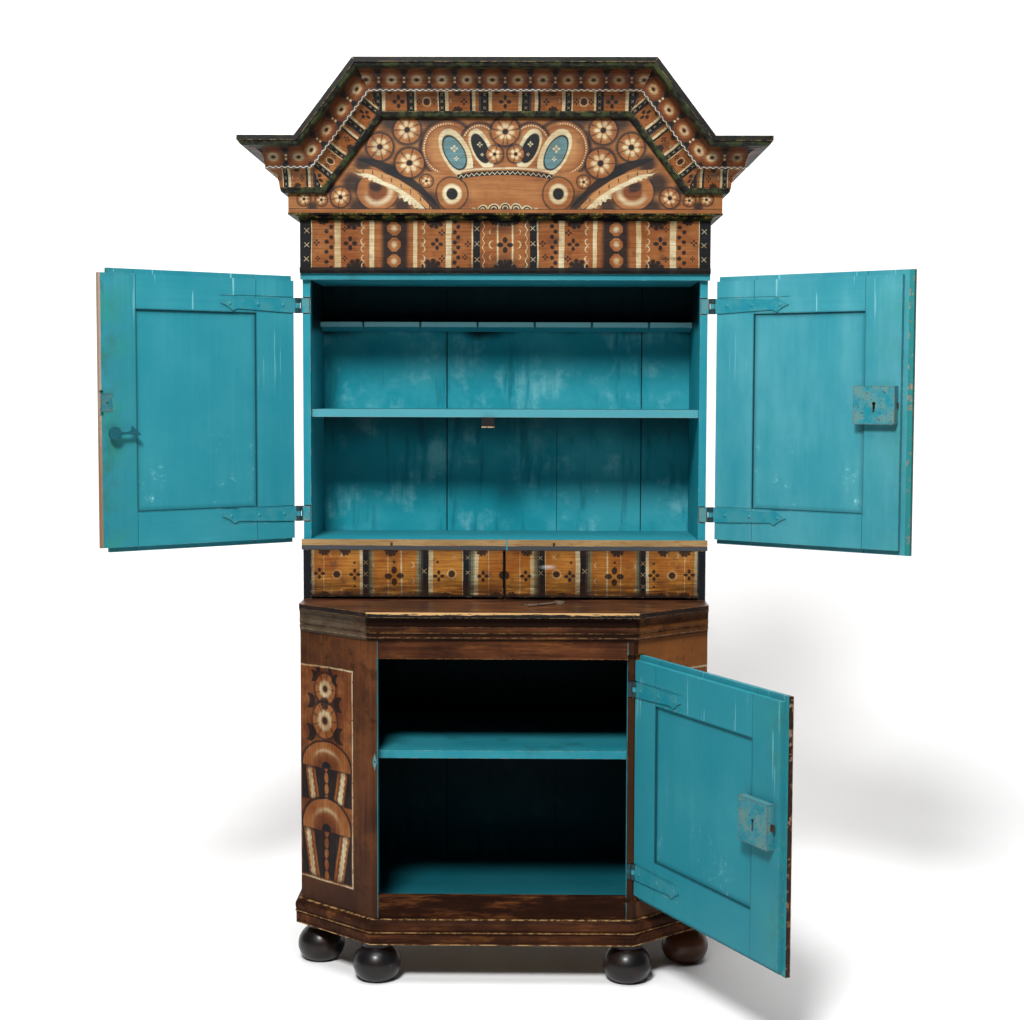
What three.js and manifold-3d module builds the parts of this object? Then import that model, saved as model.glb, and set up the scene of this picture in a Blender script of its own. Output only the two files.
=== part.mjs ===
import * as THREE from "three";
import { mergeVertices } from "three/addons/utils/BufferGeometryUtils.js";
import Module from "manifold-3d";

const wasm = await Module();
wasm.setup();

// Sizes are in millimetres: X to the right, Y to the back, Z up.
// Y is zero at the front plane of the upper case, Z is zero on the floor.

// Carcass
const bodyWidth = 956;
const sideThickness = 18;
const seam = 0.3;
const frontLap = 4;
const doorRebate = 12;
const depthBehindFront = 290;
const backThickness = 14;
const backInset = 2;
const sideOuter = bodyWidth / 2;
const sideInner = sideOuter - sideThickness;
const lapHalf = sideOuter + frontLap;
const backFace = depthBehindFront - backInset - backThickness;
const fitHalf = sideInner - seam;
const fitBack = backFace - seam;

// Heights from the floor
const footHeight = 93;
const baseRise = 58;
const bottomRailTop = 203;
const floorTop = 160;
const floorThickness = 18;
const lowerShelfTop = 531;
const lowerShelfThickness = 18;
const topRailBottom = 748;
const waistTop = 856;
const waistThickness = 12;
const drawerSpace = 118;
const deckThickness = 25;
const doorSpace = 613;
const topBoardThickness = 15;
const friezeRise = 123;
const ledgeRise = 15;
const shoulderLine = 1808;
const crownLift = 175;
const waistBottom = waistTop - waistThickness;
const deckBottom = waistTop + drawerSpace;
const deckTop = deckBottom + deckThickness;
const topBoardBottom = deckTop + doorSpace;
const friezeBottom = topBoardBottom + topBoardThickness;
const friezeTop = friezeBottom + friezeRise;
const hoodBottom = friezeTop + ledgeRise;

// Lower case, with its canted front corners
const lowerFront = -226;
const frontHalf = 296;
const openingHalf = 282.5;
const sideFront = -62;
const cantThickness = 20;
const jambDepth = 34;
const railThickness = 20;
const legDepth = 65;
const lowerShelfSetback = 40;

// Mouldings: how far each stands out, and its members as shares of that and of its height
const baseReach = 14;
const baseMemberShares = [
  ["line", 0.85, 0], ["line", 0, 0.46], ["line", 0.15, 0.02], ["line", 0, 0.04], ["line", -0.35, 0.02],
  ["torus", 0, 0.36, 0.35], ["line", -0.3, 0.1], ["line", -0.35, 0],
];
const waistMouldReach = 17;
const waistMouldRise = 54;
const waistMemberShares = [
  ["line", 0.15, 0], ["line", 0.1, 0.1], ["torus", 0.05, 0.2, 0.28], ["line", 0.1, 0.02], ["line", 0, 0.05],
  ["torus", 0.05, 0.22, 0.2], ["line", 0.05, 0.02], ["cove", 0.4, 0.33], ["line", 0.1, 0.02], ["line", 0, 0.04],
  ["line", -1, 0],
];
const waistOverhang = 22;
const waistSideOverhang = 1;
const ledgeReach = 25;
const ledgeSeat = 18;
const ledgeMemberShares = [
  ["line", 0.08, 0], ["line", 0, 0.16], ["cove", 0.8, 0.6], ["line", 0.12, 0], ["line", 0, 0.24], ["line", -1, 0],
];
const corniceReach = 102;
const corniceRise = 122;
const corniceMemberShares = [
  ["line", 0.03, 0], ["ovolo", 0.12, 0.1], ["line", 0.01, 0], ["line", 0, 0.02], ["ogee", 0.27, 0.32],
  ["line", 0.02, 0], ["line", 0, 0.05], ["cove", 0.31, 0.31], ["line", 0.02, 0.01], ["ovolo", 0.19, 0.1],
  ["line", 0.03, 0], ["line", 0, 0.09], ["line", -1, 0],
];
const beadReach = 8;
const beadRise = 13;
const hoodThickness = 20;
const returnSeat = 1;
const shoulderHalf = 418;
const crownHalf = 285;

// Doors: two layers of wood, the outer one lapping over the case
const innerLayer = 12;
const outerLayer = 10;
const doorPlay = 0.7;
const doorGap = 2.5;
const panelThickness = 8;
const panelSink = 5;
const panelTongue = 9;
const panelPlay = 0.3;
const stickingReach = 7;
const stickingRise = 6;
const edgeRound = 3;
const doorSetIn = 2;
const meetingPlay = 1;
const screwRadius = 2;

// Hinges
const hingeRise = 36;
const knuckleRadius = 6;
const pinRadius = 2.4;
const pinPlay = 0.4;
const strapThickness = 2.4;
const strapProud = 1.5;
const strapLength = 200;
const strapNeck = 23;
const spadeHalf = 17;
const spadeLength = 42;
const leafThickness = 2;
const leafInset = 1.4;
const hingePlay = 2;
const eyeClearance = 1;
const pinInset = 3.5;
const pinOutset = 12;
const pinForward = 0.6;
const sweepRadius = 26;
const sweepAngle = 32 * Math.PI / 180;

// One turn of each door from its closed place to where it stands open
const degree = Math.PI / 180;
const leftDoorOpen = 142.7 * degree;
const rightDoorOpen = 143 * degree;
const lowerDoorOpen = 116 * degree;

const palette = {
  paint: { color: 0x2f8f9a, roughness: 0.62, metalness: 0 },
  brown: { color: 0x5a2a18, roughness: 0.55, metalness: 0 },
  orange: { color: 0xa5602c, roughness: 0.6, metalness: 0 },
  green: { color: 0x1b2b2c, roughness: 0.5, metalness: 0 },
  black: { color: 0x15110f, roughness: 0.4, metalness: 0 },
  pine: { color: 0x8f7350, roughness: 0.75, metalness: 0 },
  iron: { color: 0x4d6a6a, roughness: 0.6, metalness: 0.6 },
  bare: { color: 0x55524c, roughness: 0.45, metalness: 0.9 },
};

const model = new THREE.Group();

function place(name, geometry, finish, parent = model) {
  const mesh = new THREE.Mesh(geometry, new THREE.MeshStandardMaterial(palette[finish]));
  mesh.name = name;
  parent.add(mesh);
  return mesh;
}

// Solids: a geometry becomes a manifold, and a manifold a geometry again
function solid(geometry) {
  const bare = geometry.clone();
  for (const key of ["normal", "uv"]) {
    bare.deleteAttribute(key);
  }
  const merged = mergeVertices(bare);
  const vertProperties = new Float32Array(merged.attributes.position.array);
  const triVerts = new Uint32Array(merged.index.array);
  return new wasm.Manifold(new wasm.Mesh({ numProp: 3, vertProperties, triVerts }));
}

function shell(manifold) {
  const mesh = manifold.getMesh();
  const geometry = new THREE.BufferGeometry();
  geometry.setAttribute("position", new THREE.BufferAttribute(new Float32Array(mesh.vertProperties), 3));
  geometry.setIndex(new THREE.BufferAttribute(new Uint32Array(mesh.triVerts), 1));
  geometry.computeVertexNormals();
  return geometry;
}

function cut(geometry, ...tools) {
  return shell(tools.reduce((rest, tool) => rest.subtract(solid(tool)), solid(geometry)));
}

function join(geometry, ...others) {
  return shell(others.reduce((whole, other) => whole.add(solid(other)), solid(geometry)));
}

function box(x0, x1, y0, y1, z0, z1) {
  const geometry = new THREE.BoxGeometry(Math.abs(x1 - x0), Math.abs(y1 - y0), Math.abs(z1 - z0));
  return geometry.translate((x0 + x1) / 2, (y0 + y1) / 2, (z0 + z1) / 2);
}

function shapeOf(points) {
  return new THREE.Shape(points.map(([x, y]) => new THREE.Vector2(x, y)));
}

// A plan outline in X and Y, standing from z0 to z1
function standing(points, z0, z1) {
  const geometry = new THREE.ExtrudeGeometry(shapeOf(points), { depth: z1 - z0, bevelEnabled: false });
  return geometry.translate(0, 0, z0);
}

// An outline in X and Z, running back from y0 to y1
function facing(shape, y0, y1) {
  const outline = Array.isArray(shape) ? shapeOf(shape) : shape;
  const geometry = new THREE.ExtrudeGeometry(outline, { depth: y1 - y0, bevelEnabled: false, curveSegments: 10 });
  return geometry.rotateX(Math.PI / 2).translate(0, y1, 0);
}

// An outline in Y and Z, running across from x0 to x1
function crossing(points, x0, x1) {
  const geometry = new THREE.ExtrudeGeometry(shapeOf(points), { depth: x1 - x0, bevelEnabled: false });
  return geometry.rotateX(Math.PI / 2).rotateZ(Math.PI / 2).translate(x0, 0, 0);
}

function upright(radius, x, y, z0, z1, sides = 20) {
  const geometry = new THREE.CylinderGeometry(radius, radius, z1 - z0, sides);
  return geometry.rotateX(Math.PI / 2).translate(x, y, (z0 + z1) / 2);
}

function bored(radius, x, z, y0, y1, sides = 20) {
  return new THREE.CylinderGeometry(radius, radius, y1 - y0, sides).translate(x, (y0 + y1) / 2, z);
}

function mirrored(points, side) {
  return points.map(([x, y]) => [side * x, y]);
}

// Moulding section: its members follow each other upwards from the inner bottom corner
function section(memberShares, reach, rise) {
  const path = new THREE.Path();
  path.moveTo(0, 0);
  let [x, y] = [0, 0];
  for (const [kind, outShare, upShare, swellShare = 0] of memberShares) {
    const [nextX, nextY] = [x + outShare * reach, y + upShare * rise];
    if (kind === "line") {
      path.lineTo(nextX, nextY);
    } else if (kind === "ovolo") {
      path.quadraticCurveTo(nextX, y, nextX, nextY);
    } else if (kind === "cove") {
      path.quadraticCurveTo(x, nextY, nextX, nextY);
    } else if (kind === "ogee") {
      path.bezierCurveTo(x, (y + nextY) / 2, (x + nextX) / 2, nextY, nextX, nextY);
    } else {
      const crest = Math.max(x, nextX) + swellShare * reach;
      path.quadraticCurveTo(crest, y, crest, (y + nextY) / 2);
      path.quadraticCurveTo(crest, nextY, nextX, nextY);
    }
    [x, y] = [nextX, nextY];
  }
  const points = path.getPoints(5);
  const last = points[points.length - 1];
  if (last.distanceTo(points[0]) < seam) {
    points.pop();
  }
  return points;
}

// A section swept along straight lengths, mitred where they meet.
// The section's x leaves the path to its side, its y follows the given normal, or the other way
// round when edgewise is set, as on a raked front.
function mouldingRun(profile, corners, normal, options = {}) {
  const { edgewise = false, startShift = () => 0, endShift = () => 0 } = options;
  const up = normal.clone().normalize();
  const ways = corners.slice(1).map((corner, i) => corner.clone().sub(corners[i]).normalize());
  const sides = ways.map((way) => way.clone().cross(up).normalize());
  const rings = corners.map((corner, i) => {
    const before = sides[Math.max(i - 1, 0)];
    const after = sides[Math.min(i, sides.length - 1)];
    const mitre = before.clone().add(after).normalize();
    mitre.divideScalar(mitre.dot(after));
    return profile.map((point) => {
      const across = edgewise ? point.y : point.x;
      const along = edgewise ? point.x : point.y;
      const spot = corner.clone().addScaledVector(mitre, across).addScaledVector(up, along);
      if (i === 0) {
        spot.addScaledVector(ways[0], startShift(point));
      }
      if (i === corners.length - 1) {
        spot.addScaledVector(ways[ways.length - 1], endShift(point));
      }
      return spot;
    });
  });
  const count = profile.length;
  const faces = THREE.ShapeUtils.triangulateShape(profile, []);
  const last = (rings.length - 1) * count;
  const index = faces.flatMap(([a, b, c]) => [c, b, a, last + a, last + b, last + c]);
  for (let ring = 0; ring < rings.length - 1; ring++) {
    for (let k = 0; k < count; k++) {
      const a = ring * count + k;
      const b = ring * count + ((k + 1) % count);
      index.push(a, b, b + count, a, b + count, a + count);
    }
  }
  const geometry = new THREE.BufferGeometry();
  const spots = rings.flat().flatMap((spot) => [spot.x, spot.y, spot.z]);
  geometry.setAttribute("position", new THREE.Float32BufferAttribute(spots, 3));
  geometry.setIndex(index);
  return outward(geometry);
}

// Turns the faces round when they look inwards
function outward(geometry) {
  const position = geometry.attributes.position;
  const index = geometry.index.array;
  const [a, b, c] = [new THREE.Vector3(), new THREE.Vector3(), new THREE.Vector3()];
  let volume = 0;
  for (let k = 0; k < index.length; k += 3) {
    a.fromBufferAttribute(position, index[k]);
    b.fromBufferAttribute(position, index[k + 1]);
    c.fromBufferAttribute(position, index[k + 2]);
    volume += a.dot(b.cross(c));
  }
  if (volume < 0) {
    for (let k = 0; k < index.length; k += 3) {
      [index[k + 1], index[k + 2]] = [index[k + 2], index[k + 1]];
    }
  }
  geometry.computeVertexNormals();
  return geometry;
}

// Plan of the canted corner, as directions of its outer face
const cantWay = new THREE.Vector2(sideOuter - frontHalf, sideFront - lowerFront).normalize();
const cantOut = new THREE.Vector2(cantWay.y, -cantWay.x);

function cantPoint(offset, y) {
  const foot = new THREE.Vector2(frontHalf, lowerFront).addScaledVector(cantOut, offset);
  return [foot.x + ((y - foot.y) / cantWay.y) * cantWay.x, y];
}

function cantCrossing(offset, x) {
  const foot = new THREE.Vector2(frontHalf, lowerFront).addScaledVector(cantOut, offset);
  return [x, foot.y + ((x - foot.x) / cantWay.x) * cantWay.y];
}

const frontUp = new THREE.Vector3(0, 0, 1);

function planPath(points, z) {
  return points.map(([x, y]) => new THREE.Vector3(x, y, z));
}

// Side boards: one board from floor to frieze, stepped back above the waist
const upperHingeInset = 60.5;
const lowerHingeInsets = [56, 69];
const hingeHeights = {
  upper: [deckTop + upperHingeInset, topBoardBottom - upperHingeInset],
  lower: [bottomRailTop + lowerHingeInsets[0], topRailBottom - lowerHingeInsets[1]],
};

const leafSink = leafThickness + leafInset + seam;

function sideBoard(side) {
  const outline = [
    [depthBehindFront, 0], [depthBehindFront, friezeTop - seam], [doorRebate + seam, friezeTop - seam],
    [doorRebate + seam, deckBottom - seam], [seam, deckBottom - seam], [seam, waistBottom - seam],
    [sideFront, waistBottom - seam], [sideFront, footHeight], [depthBehindFront - legDepth, footHeight],
    [depthBehindFront - legDepth, 0],
  ];
  const [near, far] = side < 0 ? [-sideOuter, -sideInner] : [sideInner, sideOuter];
  const gains = hingeHeights.upper.map((z) => {
    const half = hingeRise / 2 + hingePlay;
    return box(near - hingePlay, far + hingePlay, 0, doorRebate + leafSink + seam, z - half, z + half);
  });
  return cut(crossing(outline, near, far), ...gains);
}

for (const [name, side] of [["left", -1], ["right", 1]]) {
  place(`side_board_${name}`, sideBoard(side), "brown");
}

// Back boards, with the open joints between them
const backJoints = [-149, 340];
const jointWidth = 3;
const jointDepth = 5;
const backPanel = box(-fitHalf, fitHalf, backFace, backFace + backThickness, footHeight, friezeTop - seam);
const jointCuts = backJoints.flatMap((x) => [
  box(x - jointWidth / 2, x + jointWidth / 2, backFace - jointDepth, backFace + jointDepth, 0, hoodBottom),
  box(
    x - jointWidth / 2, x + jointWidth / 2, backFace + backThickness - jointDepth,
    backFace + backThickness + jointDepth, 0, hoodBottom,
  ),
]);
place("back_boards", cut(backPanel, ...jointCuts), "pine");

// Canted boards
const strikeRise = 44;
const strikeHalf = 5.5;
const strikeThickness = 1.6;
const strikeLift = 20;
const stripMiddle = (openingHalf + frontHalf) / 2;
const lowerLockRise = 289;
const lowerLockHeight = bottomRailTop + lowerLockRise;
const strikeHeight = lowerLockHeight + strikeLift;
const boltRise = 12;
const boltThickness = 5;
const boltPlay = 1.5;
const lowerBoltLift = 7;
const mortiseDepth = 16;

const hingeStrip = lowerFront + doorRebate;
const lowerPivot = [frontHalf + pinInset, hingeStrip];
const lipDown = 11;
const lipUp = 9;
const lowerLip = 12;

function cantBoard(side) {
  const plan = [
    [frontHalf, lowerFront], cantPoint(0, sideFront - seam), cantPoint(-cantThickness, sideFront - seam),
    cantPoint(-cantThickness, lowerFront + jambDepth), [openingHalf, lowerFront + jambDepth],
    [openingHalf, lowerFront],
  ];
  return standing(mirrored(plan, side), footHeight, waistBottom - seam);
}

const boltAxis = lowerFront + innerLayer + lowerBoltLift;
const leftStrip = strikeThickness + seam;
const strikeSeat = box(
  -stripMiddle - strikeHalf - seam, -stripMiddle + strikeHalf + seam, lowerFront - hingePlay, lowerFront + leftStrip,
  strikeHeight - strikeRise / 2 - seam, strikeHeight + strikeRise / 2 + seam,
);
const mortise = box(
  -openingHalf - mortiseDepth, -openingHalf + hingePlay, boltAxis - boltThickness / 2 - boltPlay,
  boltAxis + boltThickness / 2 + boltPlay, lowerLockHeight - boltRise / 2 - boltPlay,
  lowerLockHeight + boltRise / 2 + boltPlay,
);
place("cant_board_left", cut(cantBoard(-1), strikeSeat, mortise), "brown");

const sweepPoint = [
  lowerPivot[0] + sweepRadius * Math.cos(sweepAngle), lowerPivot[1] + sweepRadius * Math.sin(sweepAngle),
];
const hingeRecess = standing(
  [
    [openingHalf - hingePlay, lowerFront - hingePlay], [sweepPoint[0], lowerFront - hingePlay], sweepPoint,
    [lowerPivot[0] - hingePlay, hingeStrip], [openingHalf - hingePlay, hingeStrip],
  ],
  bottomRailTop - lipDown - hingePlay,
  topRailBottom + lipUp + hingePlay,
);
const lowerGains = hingeHeights.lower.flatMap((z) => {
  const half = hingeRise / 2 + hingePlay;
  const room = knuckleRadius + hingePlay / 2;
  return [
    box(openingHalf - hingePlay, lowerPivot[0], lowerFront, hingeStrip + leafSink, z - half, z + half),
    upright(room, lowerPivot[0], lowerPivot[1], z - half, z + half),
    box(lowerPivot[0], sideOuter, lowerFront, lowerPivot[1], z - half, z + half),
  ];
});
place("cant_board_right", cut(cantBoard(1), hingeRecess, ...lowerGains), "brown");

// Rails, floor and shelf of the lower case
const railHalf = openingHalf - seam;
const railBack = lowerFront + railThickness;
place(
  "top_rail",
  box(-railHalf, railHalf, lowerFront, railBack, topRailBottom, waistBottom - seam),
  "brown",
);
place("bottom_rail", box(-railHalf, railHalf, lowerFront, railBack, footHeight, bottomRailTop), "brown");

function lowerPlan(front, inset) {
  const half = [
    cantPoint(-cantThickness - inset, front), cantPoint(-cantThickness - inset, sideFront - inset),
    [fitHalf, sideFront - inset], [fitHalf, fitBack],
  ];
  return [...half, ...mirrored(half, -1).reverse()];
}

const jambBack = lowerFront + jambDepth + seam;
place("lower_floor", standing(lowerPlan(jambBack, seam), floorTop - floorThickness, floorTop), "paint");
place(
  "lower_shelf",
  standing(lowerPlan(lowerFront + lowerShelfSetback, seam), lowerShelfTop - lowerShelfThickness, lowerShelfTop),
  "paint",
);

// Waist board: wide and canted before the upper case, notched between the side boards behind it
const waistHalf = sideOuter - waistSideOverhang;
const waistFront = lowerFront - waistOverhang;
const waistPlan = [
  [cantCrossing(waistOverhang, waistHalf)[0], cantCrossing(waistOverhang, waistHalf)[1]],
  [waistHalf, 0], [fitHalf, 0], [fitHalf, fitBack],
];
const waistOutline = [cantPoint(waistOverhang, waistFront), ...waistPlan];
place(
  "waist_board",
  standing([...waistOutline, ...mirrored(waistOutline, -1).reverse()], waistBottom, waistTop),
  "brown",
);

const cantEnd = -cantOut.x / cantWay.x;
const bodyFront = [
  [-sideOuter, sideFront], [-frontHalf, lowerFront], [frontHalf, lowerFront], [sideOuter, sideFront],
];
const waistSection = section(waistMemberShares, waistMouldReach, waistMouldRise);
const mouldPath = planPath(bodyFront, waistBottom - seam - waistMouldRise);
const flushEnd = (point) => (point.x + seam) * cantEnd;
const lifted = waistSection.map((point) => new THREE.Vector2(point.x + seam, point.y));
place(
  "waist_moulding",
  mouldingRun(lifted, mouldPath, frontUp, {
    startShift: (point) => -flushEnd(point),
    endShift: flushEnd,
  }),
  "brown",
);

const baseSection = section(baseMemberShares, baseReach, baseRise);
const basePath = planPath(
  [[-sideOuter, depthBehindFront], ...bodyFront, [sideOuter, depthBehindFront]],
  footHeight,
);
place(
  "base_moulding",
  mouldingRun(baseSection.map((point) => new THREE.Vector2(point.x + seam, point.y)), basePath, frontUp),
  "brown",
);

// Bun feet, turned
const footBelly = 55;
const footCorner = 8;
const footBehind = 34;
const footFromSide = 45;
const footBehindCorner = 14;
const footPlaces = {
  front: [frontHalf - footCorner, lowerFront + footBehind],
  side: [sideOuter - footFromSide, sideFront + footBehindCorner],
};
const footShares = [
  [0, 0], [0.52, 0], [0.66, 0.03], [0.86, 0.14], [0.98, 0.3], [1, 0.42], [0.96, 0.56], [0.84, 0.7], [0.7, 0.79],
  [0.62, 0.83], [0.58, 0.86], [0.6, 0.9], [0.6, 1], [0, 1],
];

function bunFoot(x, y) {
  const outline = footShares.map(([r, z]) => new THREE.Vector2(r * footBelly, z * (footHeight - seam)));
  return new THREE.LatheGeometry(outline, 24).rotateX(Math.PI / 2).translate(x, y, 0);
}

for (const [row, [x, y]] of Object.entries(footPlaces)) {
  place(`foot_${row}_left`, bunFoot(-x, y), "black");
  place(`foot_${row}_right`, bunFoot(x, y), "black");
}

// Upper case: boards with a front lip that covers the ends of the side boards
function lippedBoard(bottom, top) {
  const half = [[lapHalf, 0], [lapHalf, doorRebate], [fitHalf, doorRebate], [fitHalf, fitBack]];
  return standing([...half, ...mirrored(half, -1).reverse()], bottom, top);
}

place("deck_board", lippedBoard(deckBottom, deckTop), "paint");
place("top_board", lippedBoard(topBoardBottom, friezeBottom - seam), "paint");

const middleShelfRise = 308;
const middleShelfTop = deckTop + middleShelfRise;
const middleShelfThickness = 18;
const middleShelfSetback = 19;
const middleShelfFront = doorRebate + middleShelfSetback;
place(
  "middle_shelf",
  box(-fitHalf, fitHalf, middleShelfFront, fitBack, middleShelfTop - middleShelfThickness, middleShelfTop),
  "paint",
);

// Spoon shelf: narrow, set back, with keyhole slots along its front edge
const spoonShelfRise = 522;
const spoonShelfTop = deckTop + spoonShelfRise;
const spoonShelfEdge = 12;
const spoonShelfDrop = 10;
const spoonShelfDepth = 62;
const spoonBevel = 40;
const slotWidth = 5;
const slotDepth = 15;
const slotEyeRadius = 5.5;
const slotPitch = 141.5;
const slotCount = 6;
const spoonFront = fitBack - spoonShelfDepth;
const spoonOutline = [
  [spoonFront, spoonShelfTop], [spoonFront, spoonShelfTop - spoonShelfEdge],
  [spoonFront + spoonBevel, spoonShelfTop - spoonShelfEdge - spoonShelfDrop],
  [fitBack, spoonShelfTop - spoonShelfEdge - spoonShelfDrop], [fitBack, spoonShelfTop],
];
const spoonLow = spoonShelfTop - spoonShelfEdge - spoonShelfDrop - slotEyeRadius;
const spoonSlots = Array.from({ length: slotCount }, (_, i) => (i - (slotCount - 1) / 2) * slotPitch).flatMap((x) => [
  box(
    x - slotWidth / 2, x + slotWidth / 2, spoonFront - slotWidth, spoonFront + slotDepth, spoonLow,
    spoonShelfTop + slotWidth,
  ),
  upright(slotEyeRadius, x, spoonFront + slotDepth, spoonLow, spoonShelfTop + slotWidth, 12),
]);
place("spoon_shelf", cut(crossing(spoonOutline, -fitHalf, fitHalf), ...spoonSlots), "paint");

// Frieze with its bead, and the ledge that carries the hood
const beadSwell = beadReach / 4;
const friezeOutline = [
  [doorRebate, friezeBottom], [doorRebate, friezeTop - seam], [0, friezeTop - seam], [0, friezeBottom + beadRise],
  [-beadReach, friezeBottom + beadRise], [-beadReach - beadSwell, friezeBottom + beadRise / 2],
  [-beadReach, friezeBottom],
];
place("frieze_board", crossing(friezeOutline, -lapHalf, lapHalf), "orange");

const ledgeSection = section(ledgeMemberShares, ledgeReach, ledgeRise);
const ledgeProfile = [
  new THREE.Vector2(-ledgeSeat, 0), ...ledgeSection.filter((point) => point.x > 0),
  new THREE.Vector2(-ledgeSeat, ledgeRise),
];
const ledgePath = [
  [-lapHalf, depthBehindFront], [-lapHalf, 0], [lapHalf, 0], [lapHalf, depthBehindFront],
];
place("ledge_moulding", mouldingRun(ledgeProfile, planPath(ledgePath, friezeTop), frontUp), "green");

// Hood: a pediment board with a raked and broken cornice mitred round it
const hoodFace = -ledgeReach;
const hoodHalf = lapHalf + ledgeReach;
const crownLine = shoulderLine + crownLift;
const rake = Math.atan2(crownLift, shoulderHalf - crownHalf);
const rakeShift = corniceRise * Math.tan(rake / 2);
const pedimentHalf = [
  [crownHalf + rakeShift, crownLine + corniceRise], [shoulderHalf + rakeShift, shoulderLine + corniceRise],
  [hoodHalf - returnSeat - seam, shoulderLine + corniceRise], [hoodHalf - returnSeat - seam, hoodBottom + seam],
];
place(
  "pediment_board",
  facing([...pedimentHalf, ...mirrored(pedimentHalf, -1).reverse()], hoodFace + seam, hoodFace + hoodThickness),
  "orange",
);

const corniceSection = section(corniceMemberShares, corniceReach, corniceRise);
const forward = new THREE.Vector3(0, -1, 0);

function corniceRun(name, corners, options) {
  const spots = corners.map(([x, z]) => new THREE.Vector3(x, hoodFace, z));
  place(name, mouldingRun(corniceSection, spots, forward, { edgewise: true, ...options }), "green");
}

const mitreGap = seam / 2;
const rakeMitre = Math.tan(rake / 2);
const outerMitre = (point) => point.x - mitreGap;

// The crown length and the two rakes, each rake with its shoulder
corniceRun("cornice_crown", [[crownHalf, crownLine], [-crownHalf, crownLine]], {
  startShift: (point) => -point.y * rakeMitre + mitreGap,
  endShift: (point) => point.y * rakeMitre - mitreGap,
});
corniceRun(
  "cornice_rake_left",
  [[-crownHalf, crownLine], [-shoulderHalf, shoulderLine], [-hoodHalf, shoulderLine]],
  { startShift: (point) => -point.y * rakeMitre + mitreGap, endShift: outerMitre },
);
corniceRun(
  "cornice_rake_right",
  [[hoodHalf, shoulderLine], [shoulderHalf, shoulderLine], [crownHalf, crownLine]],
  { startShift: (point) => -outerMitre(point), endShift: (point) => point.y * rakeMitre - mitreGap },
);

// Returns: each is a moulded board that closes the hood's side
function corniceReturn(side) {
  const profile = [
    new THREE.Vector2(-returnSeat, 0), ...corniceSection.filter((point) => point.x > 0),
    new THREE.Vector2(-returnSeat, corniceRise),
  ];
  const ends = [[side * hoodHalf, depthBehindFront], [side * hoodHalf, hoodFace]];
  const spots = planPath(side < 0 ? ends : ends.reverse(), shoulderLine);
  const outer = (point) => point.x - mitreGap;
  const options = side < 0 ? { endShift: outer } : { startShift: (point) => -outer(point) };
  const run = mouldingRun(profile, spots, frontUp, options);
  const board = box(
    side * hoodHalf, side * (hoodHalf - hoodThickness), hoodFace + hoodThickness + seam, depthBehindFront,
    hoodBottom + seam, shoulderLine + corniceRise,
  );
  return join(board, run);
}

place("cornice_return_left", corniceReturn(-1), "green");
place("cornice_return_right", corniceReturn(1), "green");

// Drawers, side by side on the waist board, with the divider between them
const drawerLift = 6;
const drawerPlay = 1;
const drawerFrontThickness = 16;
const drawerSideThickness = 10;
const drawerBottomThickness = 6;
const drawerSplit = 5;
const dividerHalf = 5;
const drawerBackRoom = 22.4;
const drawerDepth = fitBack - drawerFrontThickness - seam - drawerBackRoom;
const drawerBoxDrop = 14;
place(
  "drawer_divider",
  box(-dividerHalf, dividerHalf, drawerFrontThickness + seam * 2, fitBack, waistTop + seam, deckBottom - seam),
  "pine",
);

function drawer(name, side) {
  const group = new THREE.Group();
  const inner = side * (drawerSplit / 2);
  const outer = side * (fitHalf - drawerPlay);
  const low = waistTop + drawerLift;
  const high = deckBottom - drawerPlay;
  place(`drawer_front_${name}`, box(inner, outer, 0, drawerFrontThickness, low, high), "orange", group);
  const near = side * (dividerHalf + drawerPlay);
  const far = outer - side * drawerPlay;
  const start = drawerFrontThickness + seam;
  const walls = box(near, far, start, start + drawerDepth, waistTop + seam, high - drawerBoxDrop);
  const tray = box(
    near + side * drawerSideThickness, far - side * drawerSideThickness, start + drawerSideThickness,
    start + drawerDepth - drawerSideThickness, low + drawerBottomThickness, high,
  );
  const under = box(
    near + side * drawerSideThickness, far - side * drawerSideThickness, start - seam, start + drawerDepth + seam,
    waistTop, low,
  );
  place(`drawer_box_${name}`, cut(walls, tray, under), "pine", group);
  model.add(group);
}

drawer("left", -1);
drawer("right", 1);

// Doors. Each is made as it hangs closed, in a group that turns about its hinge pins.
// Across the door, s runs from the hinge edge to the free edge.
function doorGroup(pivot, turn) {
  const group = new THREE.Group();
  group.position.set(pivot[0], pivot[1], 0);
  group.rotation.z = turn;
  model.add(group);
  return group;
}

const upperPivot = [sideOuter + pinOutset, doorRebate + pinForward];

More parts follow.
